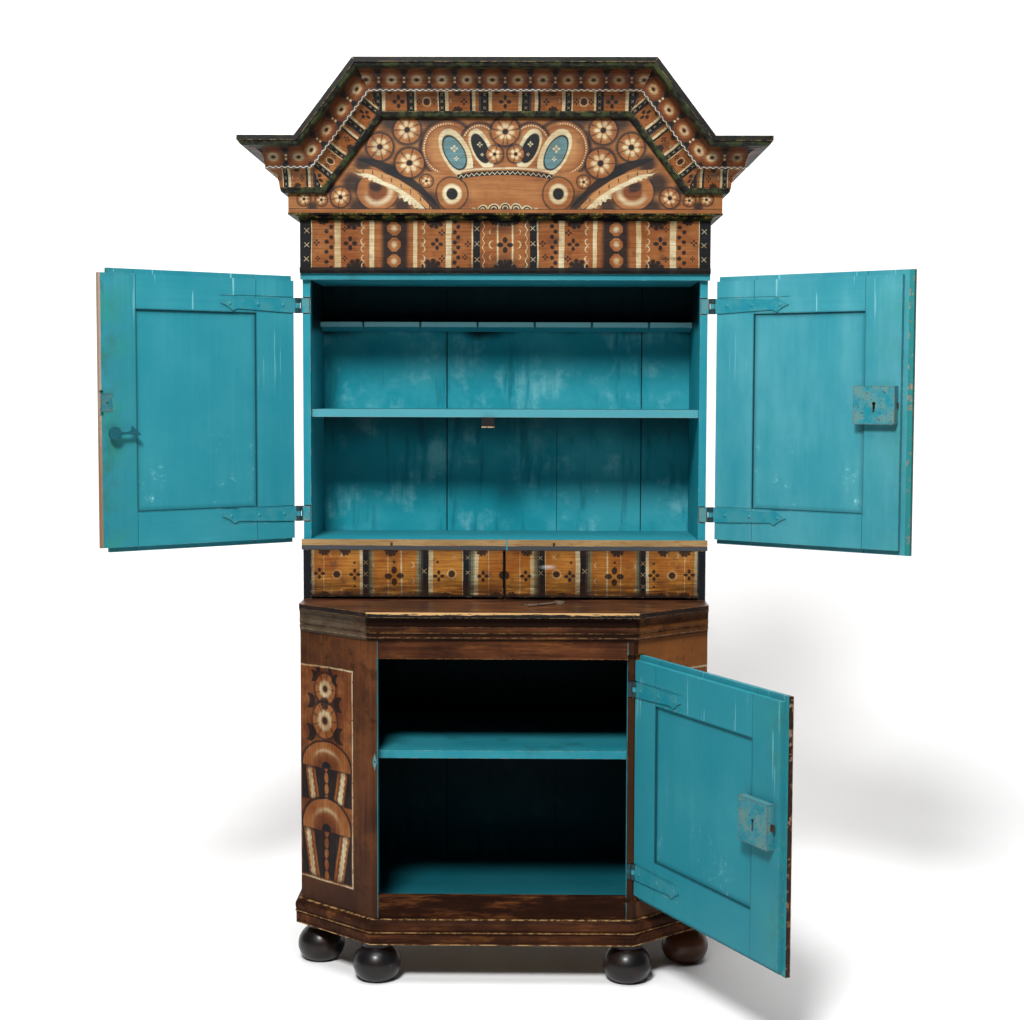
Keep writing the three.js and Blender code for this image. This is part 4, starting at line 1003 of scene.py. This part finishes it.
drawerPaint = {  # u runs from the outer end to the split
    "outer": 458.7, "span": 460, "foot": (866, 870), "behind": (15.6, 15.9),
    "fouled": (868, 930), "darkened": (863, 867), "split": (3.4, 4.4),
    "outerEnd": (0, 22), "head": (952, 974), "scrape": (105, 934),
    "bands": [(0, "cream"), (7, "ochre"), (28, "cream"), (30, "ochre"), (90, "cream"),
              (91.5, "ochre"), (114, "cream"), (121, "blueBlack"), (133, "slate"),
              (138, "greyGreen"), (143, "mist"), (147, "ochre"), (180, "cream"),
              (182, "ochre"), (212, "cream"), (214, "ochre"), (249, "mist"),
              (254, "greyGreen"), (260, "slate"), (265, "blueBlack"), (278, "cream"),
              (288, "ochre"), (359, "cream"), (361, "blueBlack"), (373, "slate"),
              (378, "greyGreen"), (383, "mist"), (388, "cream"), (397, "ochre"),
              (419, "cream"), (421, "ochre")],
    "crosses": [((19, 917), 14), ((103, 915), 14), ((197, 912), 23), ((303, 912), 14),
                ((408, 912), 14)],
    "rings": [((60, 915), 12), ((334, 917), 12)],
    "spots": [((103, 943), 3), ((103, 887), 3), ((300, 945), 3), ((456, 914), 10),
              ((197, 945), 3)],
    "fans": [((30, 974), 15), ((30, 861), 15), ((190, 975), 17), ((80, 974), 15),
             ((405, 975), 15), ((86, 861), 13), ((320, 861), 13), ((440, 861), 14)],
    "saltires": [((129, 944), 5), ((129, 917), 5), ((129, 888), 5), ((268, 924), 6),
                 ((372, 956), 5), ((372, 920), 5), ((340, 957), 5)],
    "crescents": [((52, 962), -8), ((66, 962), 8), ((52, 873), -8), ((66, 873), 8),
                  ((154, 938), -8), ((154, 880), -8), ((236, 938), 9), ((236, 900), 9),
                  ((236, 872), 7)],
}


def buildDrawers():
    material, plain = casePaint("drawer_paint", 0.06)
    x, z = painted(plain, 1.2)
    u = drawerPaint["outer"] - abs(x)
    flat = joined(u, z)
    colour = stripes(u, drawerPaint["span"], drawerPaint["bands"])
    dark = fall(z, *drawerPaint["foot"]) * 0.8
    dark = stamped(dark, petals, flat, drawerPaint["crosses"])
    dark = stamped(dark, fan, flat, drawerPaint["fans"])
    for at, size in drawerPaint["spots"]:
        dark = most(dark, fall(apart(flat, at), size - 0.6, size + 0.6))
    rings = [ringed(flat, (*at, 0), size) for at, size in drawerPaint["rings"]]
    dark = most(dark, *(ring[1] for ring in rings))
    colour.lay("blueBlack", dark * 0.92)
    cream = most(*(ring[0] for ring in rings))
    cream = stamped(cream, saltire, flat, drawerPaint["saltires"])
    cream = stamped(cream, crescent, flat, drawerPaint["crescents"], brushFat)
    colour.lay("cream", cream * 0.75)
    colour, hair = aged(plain, along["x"], colour, 1)
    foul = rise(streaks(plain, (0.01, 0.1, 0.12), 5), 0.34, 0.56)
    colour.lay("darkBrown", foul * fall(z, *drawerPaint["fouled"]) * 0.85)
    # painted shade: black along the foot and in the split between the drawers
    colour.lay("blackAndShade", most(fall(z, *drawerPaint["darkened"]),
                            fall(abs(x), *drawerPaint["split"])) * 0.85)
    colour.lay("darkBrown", most(fall(u, *drawerPaint["outerEnd"]),
                                 rise(z, *drawerPaint["head"])) * 0.45)
    middle, level = drawerPaint["scrape"]
    scrape = length((x - middle) * 0.06, (z - level) * 0.2)
    colour.lay("white", fall(scrape, 0, 1.6) * (foul * 0.5 + 0.3) * 0.55)
    pine = bareBoard(plain, "x", "bareWood", "dustyWood")[0]
    colour.lay(pine, rise(parted(plain)[1], *drawerPaint["behind"]))
    rubArrises(colour, plain, 1.6, 0.55, 0.6)
    return finish(material, colour, hair + dark * 0.15 + cream * 0.2,
                  0.3 + noise(plain, 0.018, 4, 0.6) * 0.2)


cover(buildDrawers(), "drawer_front_left", "drawer_front_right")

cornicePath = {"crown": (285, 1983), "shoulder": (418, 1808)}


def corniceFields(point, kind):  # height up the moulding and length along it
    x, y, z = parted(point)
    wide = abs(x)
    (crownX, crownZ), (shoulderX, shoulderZ) = cornicePath["crown"], cornicePath["shoulder"]
    level = z - shoulderZ
    if kind == "crown":
        return z - crownZ, wide
    if kind == "return":
        return level, y
    run, drop = shoulderX - crownX, crownZ - shoulderZ
    whole = math.hypot(run, drop)
    out, under = wide - crownX, crownZ - z
    slope = out * (drop / whole) - under * (run / whole)
    down = out * (run / whole) + under * (drop / whole)
    onShoulder = rise(slope - level, -0.2, 0.2)
    return (least(slope, level),
            down * (1 - onShoulder) + (wide - shoulderX + whole) * onShoulder)


corniceLook = {
    "crown": {"start": 0, "pitch": 58, "ogee": 0, "stretch": 1, "specular": 0.2},
    "rake": {"start": 16, "pitch": 58, "ogee": 220, "stretch": 1.35, "specular": 0.2},
    "return": {"start": 0, "pitch": 62, "ogee": 60, "stretch": 1, "specular": 0.03},
}
cornicePaint = {  # heights up the moulding
    "span": 246,
    "bands": [(0, "orange"), (30, "cream"), (38, "blueBlack"), (55, "slate"), (60, "orange"),
              (68, "cream"), (75, "blueBlack"), (81, "orange"), (130, "cream"),
              (138, "blueBlack"), (152, "cream"), (155, "orange"), (204, "cream"),
              (209, "blueBlack"), (226, "orange")],
    "crosses": [((0, 34), 15), ((246, 34), 15), ((95, 34), 8), ((164, 34), 7),
                ((198, 34), 7)],
    "fans": [((110, 12), 13), ((110, 57), 11), ((20, 57), 8)],
    "ring": ((181, 34, 0), 11), "crescent": ((122, 36, 0), 5), "zigzag": 56.8, "tooth": 7,
    "saltires": (47.5, 146, 217),
    "lower": (14, 14.8), "fillet": (53.7, 59.8), "cove": (59.3, 60.3), "eyes": 79,
    "upper": (98.4, 99.2), "edge": (110.6, 111.4), "behind": (-26, -24.5),
}


def buildCornice(kind):
    look = corniceLook[kind]
    material, plain = casePaint("cornice_" + kind, specular=look["specular"])
    rawUp, rawPath = corniceFields(plain, kind)
    shake = (noise(plain, 0.02, 2) - 0.5) * 4
    up, path = rawUp + shake * 0.3, rawPath + shake
    span = cornicePaint["span"]
    run = repeat(path * look["stretch"] + look["ogee"], span, 0)
    colour = stripes(run, span, cornicePaint["bands"])
    flat = joined(run, up)
    dark = stamped(None, petals, flat, cornicePaint["crosses"])
    dark = stamped(dark, fan, flat, cornicePaint["fans"])
    ringCream, ringDark = ringed(flat, *cornicePaint["ring"])
    dark = most(dark, ringDark)
    cream = most(ringCream, crescent(flat, *cornicePaint["crescent"], brushFat))
    for at in cornicePaint["saltires"]:
        cream = most(cream, saltire(joined(run - at, repeat(up - 21, 7)), centre, 3.4))
    colour.lay("blueBlack", dark * 0.92)
    colour.lay("cream", cream * 0.85)
    # rosettes along the cove, with blots and drops between them
    half = look["pitch"] / 2
    level = up - cornicePaint["eyes"]
    far = length(repeat(path - look["start"] - half, half) * 0.72, level)
    cove = blend("orangeDeep", "orange", fall(far, 10, 17))
    glow = fall(abs(far - 6.5), 0.8, 4.4) * 0.9
    cove.lay("cream", glow * (noise(plain, 0.09, 3, 0.6) * 0.5 + 0.5))
    cove.lay("darkBrown", fall(far, 2.6, 4.2) * 0.9)
    cove.lay("blueBlack", rise(far, 19, 24) * 0.75)
    gap = joined(repeat(path - look["start"], half), level)
    gapX, gapY = axes(vectors("ABSOLUTE", gap))
    blot = fall(length(gapX * 1.2, gapY - 15), 6, 9)
    cove.lay("blueBlack", most(blot, near(gapX, 0, 1.2, 0.8) * 0.8))
    cove.lay("cream", fall(length(gapX, gapY - 4), 2, 3.4))
    colour.lay(cove, rise(up, *cornicePaint["cove"]))
    # zigzag fillet
    tooth = maths("PINGPONG", path, cornicePaint["tooth"]) * 0.55
    wave = near(rawUp - cornicePaint["zigzag"] - tooth + 1.9, 0, 0.8, 0.5)
    colour.lay(blend("slate", "white", wave * 0.75),
               between(rawUp, *cornicePaint["fillet"], 0.3))
    colour = aged(plain, along["x"], colour, 0.8)[0]
    # green members and the dark top edge
    streak = noise(plain, 0.06, 4, 0.6)
    member = blend("bottleGreen", "blackAndShade", rise(streak, 0.36, 0.58))
    member.lay("blackAndShade", rise(rawUp, *cornicePaint["edge"]) * 0.8)
    colour.lay(member, most(fall(rawUp, *cornicePaint["lower"]),
                            rise(rawUp, *cornicePaint["upper"])))
    rubArrises(colour, plain, 2.6, 0.5, 0.7)
    if kind != "return":
        colour.lay("dustyWood", rise(parted(plain)[1], *cornicePaint["behind"]))
    return finish(material, colour, streak + dark * 0.15 + cream * 0.2,
                  0.32 + noise(plain, 0.02, 4, 0.6) * 0.2)


cover(buildCornice("crown"), "cornice_crown")
for kind in ("rake", "return"):
    cover(buildCornice(kind), f"cornice_{kind}_left", f"cornice_{kind}_right")


ledgePaint = {"half": 13, "level": 1765, "ring": (8.5, 1, 0.6)}


def buildLedge():  # black-green cove with small gold half rings
    material, plain = casePaint("ledge_paint", specular=0.03)
    x, y, z = parted(plain)
    cloud = noise(plain, 0.03, 3)
    far = length(repeat(x + y + (cloud - 0.5) * 6, ledgePaint["half"]),
                 z - ledgePaint["level"])
    colour = blend("blackAndShade", "bottleGreen", rise(cloud, 0.4, 0.6))
    colour.lay("ochre", near(far, *ledgePaint["ring"]) * rise(cloud, 0.4, 0.55) * 0.6)
    return finish(material, colour, cloud, 0.45)


cover(buildLedge(), "ledge_moulding")
print("ornament painted")


def arched(value, middle, half, crown):  # a low hump over a span
    part = (value - middle) / half
    return (1 - least(part * part, 1)) * crown


pedimentPaint = {  # mirrored about the middle
    "rosettes": [((228, 1956), 32, 7), ((292, 1917), 31, 7), ((222, 1880), 34, 7),
                 ((0, 1953), 33, 8), ((384, 1801), 23, 6), ((429, 1795), 14, 5),
                 ((469, 1797), 15, 5), ((183, 1838), 15, 5), ((25, 1901), 20, 5)],
    "lobes": [((133, 1913), (60, 62), 1858), ((60, 1922), (42, 47), 1872)],
    "beans": [((118, 1904), (42, 22), 62, "beanBlue"),
              ((58, 1914), (34, 16), 66, "blueBlack")],
    "shades": [((262, 1983), 34), ((180, 1990), 26), ((330, 1880), 22), ((262, 1862), 20),
               ((355, 1834), 26), ((410, 1822), 16), ((180, 1784), 30), ((450, 1780), 12),
               ((342, 1776), 24), ((240, 1780), 20), ((186, 1925), 14)],
    "foot": 1774, "behind": (-20, -18), "spray": (150, 345), "rib": (160, 352),
    "feather": (176, 358), "eye": ((297, 1815), (50, 44)), "heart": ((303, 1826), (19, 13)),
    "band": (1784, 1872), "banner": (1800, 1842), "creamLine": (1866, 1870.5),
    "zigzag": (1852, 1863), "hem": 1776, "endRing": ((124, 1810), (35, 37)),
}


def paintLeaf(colour, flat, wide, z):  # spray: dark band, orange rib with ticks, cream feather
    start, end = pedimentPaint["spray"]
    leafTop = (wide - start) * 0.6 + arched(wide, 245, 95, 22) + pedimentPaint["foot"]
    taper = arched(wide, 247, 104, 13)
    band = fall(abs(z - leafTop) - taper, -1.5, 1.5)
    colour.lay("blueBlack", band * between(wide, start, end, 4) * 0.95)
    ribLine = z - leafTop + 25
    rib = fall(abs(ribLine) - taper * 0.9, -1, 1)
    rib = rib * between(wide, *pedimentPaint["rib"], 4)
    ticks = near(repeat(wide, 11), 0, 1.2, 0.6) * between(ribLine, -3, 6)
    colour.lay("orangePale", rib)
    colour.lay("blueBlack", rib * ticks * 0.9)
    comb = maths("SINE", wide * 0.42 + z * 0.2) * 3
    feather = z - leafTop + 43 - arched(wide, 330, 45, 9)
    plume = fall(abs(feather) + comb * fall(feather, -6, -1) - taper * 0.8, -0.8, 0.8)
    vein = near(repeat(wide * 0.9 + z * 0.5, 5), 0, 1.1, 0.8) * fall(feather, -3, 3)
    plume = plume * between(wide, *pedimentPaint["feather"], 5)
    colour.lay("cream", plume * (1 - vein * 0.5))
    # half eye below the spray
    x, y, eye = oval(flat, *pedimentPaint["eye"])
    below = fall(z - (leafTop - 44), -2, 2)
    colour.lay("blueBlack", near(eye, 1, 0.06, 0.08) * below * 0.7)
    colour.lay("orange", fall(eye, 0.93, 0.98) * below)
    colour.lay("cream", near(eye, 0.62, 0.1, 0.13) * below * fall(x + y, -0.2, 0.7) * 0.75)
    colour.lay("orangeDeep", fall(eye, 0.36, 0.5) * below * 0.9)
    heart = oval(flat, *pedimentPaint["heart"], 24)[2]
    colour.lay("blueBlack", fall(heart, 0.6, 1.1) * below * 0.85)


def paintCrown(colour, flat, wide, z):  # lobes with a dotted hem, beans inside, band and hem
    for (at, radii, foot), outer in zip(pedimentPaint["lobes"], (True, False)):
        x, y, lobe = oval(flat, at, radii)
        upper = rise(z, foot, foot + 4)
        colour.lay("blueBlack", near(lobe, 1.08, 0.08, 0.07) * upper * 0.85)
        body = blend("orange", "orangePale", fall(lobe, 0.35, 0.95))
        colour.lay(body, fall(lobe, 0.98, 1.02) * upper)
        colour.lay("orangeDeep", near(lobe, 0.86, 0.02, 0.04) * upper * 0.6)
        beads = repeat(maths("ARCTAN2", x, y) * radii[0] * 0.94, 2.9)
        dots = fall(length(beads, (lobe - 0.93) * radii[0]), 1.2, 2.2)
        colour.lay("cream", dots * (rise(x, -0.25, -0.1) if outer else rise(y, 0.35, 0.5))
                   * upper)
    for at, radii, lean, fill in pedimentPaint["beans"]:
        x, y, bean = oval(flat, at, radii, lean)
        colour.lay("cream", fall(bean - rise(y - x * 0.5, -1, 1) * 0.22, 1.3, 1.38))
        colour.lay("blueBlack", near(bean, 0.97, 0.1, 0.06))
        colour.lay(fill, fall(bean, 0.92, 0.98))
        stars = [((at[0] + 1, at[1] + 9), radii[1] * 0.42),
                 ((at[0] - 4, at[1] - 14), radii[1] * 0.26)]
        colour.lay("cream", stamped(None, petals, flat, stars) * 0.9)
    arc = z + wide * wide * 0.0007
    inBand = fall(wide, 110, 112)
    colour.lay("orange", between(arc, *pedimentPaint["band"], 1.5) * fall(wide, 100, 104))
    banner = between(arc, *pedimentPaint["banner"], 8) * fall(wide, 70, 100)
    colour.lay("orangePale", banner * 0.3)
    colour.lay("cream", between(arc, *pedimentPaint["creamLine"], 1) * inBand * 0.85)
    colour.lay("blueBlack", between(arc, *pedimentPaint["zigzag"], 0.8) * inBand)
    zig = maths("PINGPONG", wide, 6) * 1.1 + (pedimentPaint["zigzag"][0] + 2)
    colour.lay("cream", near(arc - zig, 0, 0.9, 0.5) * inBand)
    colour.lay("blueBlack", near(wide - (z - 1800) * 0.1, 98, 1.4, 0.8)
               * between(z, 1782, 1846, 4))
    shell = length(repeat(wide, 13), z - pedimentPaint["hem"] + wide * wide * 0.002)
    inHem = fall(wide, 72, 80)
    colour.lay("blueBlack", fall(shell, 13, 14.5) * inHem * 0.85)
    colour.lay("cream", most(near(shell, 12, 1.3, 0.6), near(shell, 6, 1.1, 0.6)) * inHem)


def paintRosettes(colour, flat):
    for at, size, count in pedimentPaint["rosettes"]:
        disc, petal, eye, rim = rosette(flat, (*at, 0), size, count)
        colour.lay("blueBlack", rim * 0.75)
        rising = rise(apart(flat, at), size * 0.5, size * 0.85)
        colour.lay(blend("orangePale", "orange", rising), disc)
        colour.lay("cream", petal * 0.9)
        colour.lay("blueBlack", eye)
    # the big ringed one at each end of the banner
    ring = oval(flat, *pedimentPaint["endRing"])[2]
    colour.lay("blueBlack", near(ring, 1.05, 0.06, 0.06) * 0.8)
    colour.lay("orange", fall(ring, 0.97, 1.02))
    colour.lay("cream", near(ring, 0.5, 0.13, 0.1))
    colour.lay("blueBlack", fall(ring, 0.34, 0.4))


def buildPediment():
    material, plain = casePaint("pediment_paint")
    x, z = painted(plain, 1.4)
    wide = abs(x)
    flat = joined(wide, z)
    cloud = noise(plain, 0.018, 4, 0.6)
    colour = blend("orange", "orangePale", rise(cloud, 0.4, 0.7) * 0.6)
    # blue-black shading between the forms and round the rosettes
    shade = most(*(fall(apart(flat, at), size * 0.5, size * 1.5)
                   for at, size in pedimentPaint["shades"]))
    for at, size, _ in pedimentPaint["rosettes"]:
        shade = most(shade, fall(apart(flat, at), size * 1.02, size * 1.38) * 0.62)
    colour.lay("blueBlack", shade * 0.9)
    paintLeaf(colour, flat, wide, z)
    paintCrown(colour, flat, wide, z)
    paintRosettes(colour, flat)
    # plain orange strip with a dark line at the foot
    y, level = parted(plain)[1:]
    foot = pedimentPaint["foot"]
    colour.lay("orange", fall(level, foot - 1, foot))
    colour.lay("blueBlack", near(level, foot + 0.5, 0.9, 0.4) * 0.8)
    colour, hair = aged(plain, along["x"], colour, 0.6)
    rubArrises(colour, plain, 1.6, 0.56, 0.6)
    bare = bareBoard(plain, "x", "dustyWood", "warmBrown")[0]
    bare = blend("dustyWood", bare, patches(plain, 0.005, 3, 0.5, 0.3, 0.7) * 0.3)
    colour.lay(bare, rise(y, *pedimentPaint["behind"]))
    return finish(material, colour, hair + cloud * 0.5, 0.36 + cloud * 0.2)


cover(buildPediment(), "pediment_board")

# Cant boards

cantPaint = {
    "front": (296, -226), "run": (182, 164), "left": 63, "height": (205, 713),
    "arches": ((392, 478, 536), (212, 330, 402)),  # foot, spring, crown
    "rosettes": (((158, 660), 36), ((160, 586), 43)), "fan": ((160, 626, 0), 15),
    "leaves": (((112, 684), 15), ((210, 688), -15), ((98, 628), 20), ((224, 628), -20),
               ((96, 556), 22), ((226, 552), -22), ((128, 704), 12), ((194, 704), -12)),
    "middle": 155, "corner": 14, "arched": (68, 242), "jamb": (283, 283.6), "back": (-19.8, -19.2),
    "inner": (-193, -192.4), "innerEnd": (300, 301), "damp": (170, 330),
}


def paintArch(field, flat, c, h, foot, spring, crown):  # dark ground, plumes and drops
    across = c - cantPaint["middle"]
    ground = between(h, foot, spring + 6, 2) * between(c, *cantPaint["arched"], 3)
    field.lay("blueBlack", ground * 0.94)
    for side in (-1, 1):
        blade = across * side - 36 - (h - foot) * 0.2
        comb = maths("SINE", h * 0.42) * 5
        span = between(h, foot + 4, spring - 10, 8)
        field.lay("orange", between(blade, -12, 22, 2) * ground * span * 0.9)
        field.lay("orangeDeep", near(blade, -4, 1.4, 0.8) * ground * span)
        field.lay("cream", between(blade + comb * 0.3, 1, 15, 1) * span * 0.9)
    drop = length(across, repeat(h - foot - 8, 13) * 0.55)
    field.lay("orange", fall(drop, 6, 7.5) * between(h, foot, spring - 6, 3))
    x, _, arch = oval(flat, (cantPaint["middle"], spring), (84, crown - spring))
    over = rise(h, spring - 6, spring - 3)
    field.lay("blueBlack", near(arch, 1.03, 0.05, 0.04) * over * 0.85)
    body = blend("orange", "orangeDeep", fall(arch, 0.3, 0.7))
    field.lay(body, fall(arch, 0.98, 1) * over)
    field.lay("cream", near(arch, 0.64, 0.03, 0.11) * fall(abs(x), 0.2, 0.72) * over * 0.8)
    field.lay("blueBlack", fall(arch, 0.16, 0.22) * over)


def buildCants():
    material, plain = casePaint("cant_paint", specular=0.09)
    x, y, z = parted(plain)
    wide, right = abs(x), rise(x, 0, 1)
    run = [part / math.hypot(*cantPaint["run"]) for part in cantPaint["run"]]
    awayX, awayY = wide - cantPaint["front"][0], y - cantPaint["front"][1]
    across = awayX * run[0] + awayY * run[1]
    shake = noise(plain, 0.02, 3) - 0.5
    c, h = across + shake * 5, z + shake * 6
    flat = joined(c, h)
    colour, height = brushedBrown(plain, "z")
    patch = patches(plain, 0.01, 4, 0.6, 0.4, 0.7)
    colour.lay("amber", right * 0.45 + patch * 0.3)
    mottle = patches(plain, 0.02, 5, 0.7, 0.5, 0.66)
    colour.lay("umber", mottle * 0.6 + fall(x, 0, 1) * 0.12)
    post = fall(across - right * cantPaint["corner"], -1, 1)
    colour.lay("umber", post * (right * 0.6 + 0.25))
    low, high = cantPaint["height"]
    inPanel = rise(c, cantPaint["left"] - 1, cantPaint["left"] + 1)
    inPanel = inPanel * between(h, low, high, 1)
    cloud = noise(plain, 0.02, 4, 0.6)
    field = blend("orangeDeep", "orange", rise(cloud, 0.4, 0.7) * 0.8)
    # two rosettes with dark leaves about them
    for at, size in cantPaint["rosettes"]:
        disc, _, eye, rim = rosette(flat, (*at, 0), size, 9)
        field.lay("blueBlack", rim * 0.7)
        field.lay("orange", disc)
        field.lay("cream", near(apart(flat, at), size * 0.42, size * 0.14, size * 0.12) * 0.8)
        field.lay("blueBlack", eye * 0.9)
    for at, size in cantPaint["leaves"]:
        field.lay("blueBlack", crescent(flat, (*at, 0), size, 0.5) * 0.9)
    field.lay("blueBlack", fan(flat, *cantPaint["fan"]) * 0.85)
    for arch in cantPaint["arches"]:
        paintArch(field, flat, c, h, *arch)
    border = most(near(c, cantPaint["left"] + 2, 2, 0.8), near(h, high - 2, 2, 0.8),
                  near(h, low + 2, 2, 0.8))
    rubbed = patches(plain, 0.09, 4, 0.75, 0.36, 0.44)
    field.lay("cream", border * rubbed * 0.85)
    field.glaze("varnish", patches(plain, 0.011, 4, 0.6, 0.5, 0.72) * 0.8)
    field = aged(plain, along["z"], field, 0.8)[0]
    colour.lay(field, inPanel)
    colour.lay("darkBrown", fall(z, *cantPaint["damp"]) * (1 - inPanel) * 0.7)
    rubArrises(colour, plain, 2.2, 0.58, 0.5)
    # teal on the jambs and on the back, lapping raggedly round the arris
    out = awayX * run[1] - awayY * run[0]
    inward = most(fall(wide + shake * 2, *cantPaint["jamb"]), fall(out, *cantPaint["back"]),
                  rise(y, *cantPaint["inner"]) * fall(wide, *cantPaint["innerEnd"]))
    teal = brushedTeal(plain, "z")[0]
    teal.lay("darkBrown", beneath(z))
    colour.lay(teal, inward)
    return finish(material, colour, height + inPanel * 0.2, 0.4 + height * 0.25)


cover(buildCants(), "cant_board_left", "cant_board_right")
print("boards painted")

# Nails and rivets

def studs(name, door, spots, look, material):  # low round heads set on a face
    mesh = bmesh.new()
    for spot in spots:
        made = bmesh.ops.create_uvsphere(mesh, u_segments=12, v_segments=8, radius=1)
        bmesh.ops.scale(mesh, vec=(look["radius"], look["proud"], look["radius"]),
                        verts=made["verts"])
        bmesh.ops.translate(mesh, vec=spot, verts=made["verts"])
    bmesh.ops.transform(mesh, matrix=doorPlace(door), verts=mesh.verts)
    bmesh.ops.recalc_face_normals(mesh, faces=mesh.faces)
    for face in mesh.faces:
        face.smooth = True
    newPiece(name, mesh, door["body"], material)


strapNails = {"others": (105, 178), "face": 1.5, "radius": 4.4, "proud": 1.6}
for name, door in doors.items():  # the first one is clear of the leaf
    face = door["face"] + strapNails["face"]
    nailed = (door["firstNail"],) + strapNails["others"]
    studs("strap_nails_" + name, door, [(s, face, z) for z in door["straps"] for s in nailed],
          strapNails, strapIron)

lockRivet = {"radius": 3.4, "proud": 1.6}
lockRivets = {  # spots as shares of the lock case
    "upper_right": {"low": (375, 1280.5), "size": (100, 85), "face": 16.7,
                    "spots": ((0.33, 0.83), (0.76, 0.86), (0.22, 0.32), (0.62, 0.16),
                              (0.92, 0.1))},
    "lower": {"low": (458.5, 446), "size": (105, 92), "face": 17.3,
              "spots": ((0.1, 0.9), (0.86, 0.88), (0.1, 0.12), (0.86, 0.1), (0.72, 0.78))},
}
for name, lock in lockRivets.items():
    spots = [(lock["low"][0] + s * lock["size"][0], lock["face"],
              lock["low"][1] + z * lock["size"][1]) for s, z in lock["spots"]]
    studs("lock_rivets_" + name, doors[name], spots, lockRivet, lockIron)
print("nails and rivets set")

# Stage, light, camera

stage = {"half": 4.5, "front": -5.5, "back": 2.6, "height": 5, "bend": 1.2, "segments": 16,
         "white": 0.8, "roughness": 0.9}


def buildStage():
    mesh = bmesh.new()
    line = [mesh.verts.new((0, y, z)) for y, z in
            ((stage["front"], 0), (stage["back"], 0), (stage["back"], stage["height"]))]
    for pair in zip(line, line[1:]):
        mesh.edges.new(pair)
    bmesh.ops.bevel(mesh, geom=[line[1]], affect="VERTICES", offset=stage["bend"],
                    segments=stage["segments"], profile=0.5, material=-1)
    drawn = bmesh.ops.extrude_edge_only(mesh, edges=mesh.edges[:])
    moved = [item for item in drawn["geom"] if isinstance(item, bmesh.types.BMVert)]
    bmesh.ops.translate(mesh, vec=(2 * stage["half"], 0, 0), verts=moved)
    bmesh.ops.translate(mesh, vec=(-stage["half"], 0, 0), verts=mesh.verts)
    bmesh.ops.recalc_face_normals(mesh, faces=mesh.faces)
    lowest = min(mesh.faces, key=lambda face: face.calc_center_median().y)
    if lowest.normal.z < 0:  # faces up and to the front
        bmesh.ops.reverse_faces(mesh, faces=mesh.faces)
    for face in mesh.faces:
        face.smooth = True
    material, tree, shader = newPaint("floor_paper")
    shader.inputs["Base Color"].default_value = (stage["white"],) * 3 + (1,)
    shader.inputs["Roughness"].default_value = stage["roughness"]
    side = tree.nodes.new("ShaderNodeNewGeometry")  # clear from behind, for the back views
    clear = tree.nodes.new("ShaderNodeBsdfTransparent")
    mix = tree.nodes.new("ShaderNodeMixShader")
    ends = (side.outputs["Backfacing"], shader.outputs[0], clear.outputs[0])
    for index, end in enumerate(ends):
        tree.links.new(end, mix.inputs[index])
    tree.links.new(mix.outputs[0], tree.nodes["Material Output"].inputs["Surface"])
    newObject("floor_sweep", mesh, material)


buildStage()

lamps = {
    "key": {"at": (-0.9, -4.4, 5.2), "aim": (0, 0, 1), "size": 1.4, "power": 520},
    "back": {"at": (0, -0.3, 4.9), "aim": (0, 3, 2), "size": 3.5, "power": 200},
}
for name, lamp in lamps.items():
    data = bpy.data.lights.new("lamp_" + name, "AREA")
    data.shape = "DISK"
    data.size = lamp["size"]
    data.energy = lamp["power"]
    light = newObject("lamp_" + name, data)
    light.location = lamp["at"]
    aim = Vector(lamp["aim"]) - Vector(lamp["at"])
    light.rotation_euler = aim.to_track_quat("-Z", "Y").to_euler()

studio = {"lit": 0.03, "seen": 0.85}  # pale to look at, faint as a light
world = bpy.data.worlds.new("studio")
world.use_nodes = True
background = world.node_tree.nodes["Background"]
background.inputs["Color"].default_value = (1, 1, 1, 1)
rays = world.node_tree.nodes.new("ShaderNodeLightPath")
strength = world.node_tree.nodes.new("ShaderNodeMapRange")
strength.inputs["To Min"].default_value = studio["lit"]
strength.inputs["To Max"].default_value = studio["seen"]
world.node_tree.links.new(rays.outputs["Is Camera Ray"], strength.inputs["Value"])
world.node_tree.links.new(strength.outputs[0], background.inputs["Strength"])
bpy.context.scene.world = world

cameraLook = {"at": (58.5, -4129.3, 1359.2), "lens": 61.37, "sensor": 36, "down": 0.0699,
              "left": 0.0098, "roll": 0.003}
data = bpy.data.cameras.new("camera")
data.lens = cameraLook["lens"]
data.sensor_fit = "HORIZONTAL"
data.sensor_width = cameraLook["sensor"]
camera = newObject("camera", data)
camera.matrix_world = (Matrix.Translation(caseShift + Vector(cameraLook["at"]) * mm)
                       @ Matrix.Rotation(cameraLook["left"], 4, "Z")
                       @ Matrix.Rotation(math.pi / 2 - cameraLook["down"], 4, "X")
                       @ Matrix.Rotation(cameraLook["roll"], 4, "Z"))
bpy.context.scene.camera = camera
bpy.context.scene.view_settings.view_transform = "Standard"

print("scene ready")
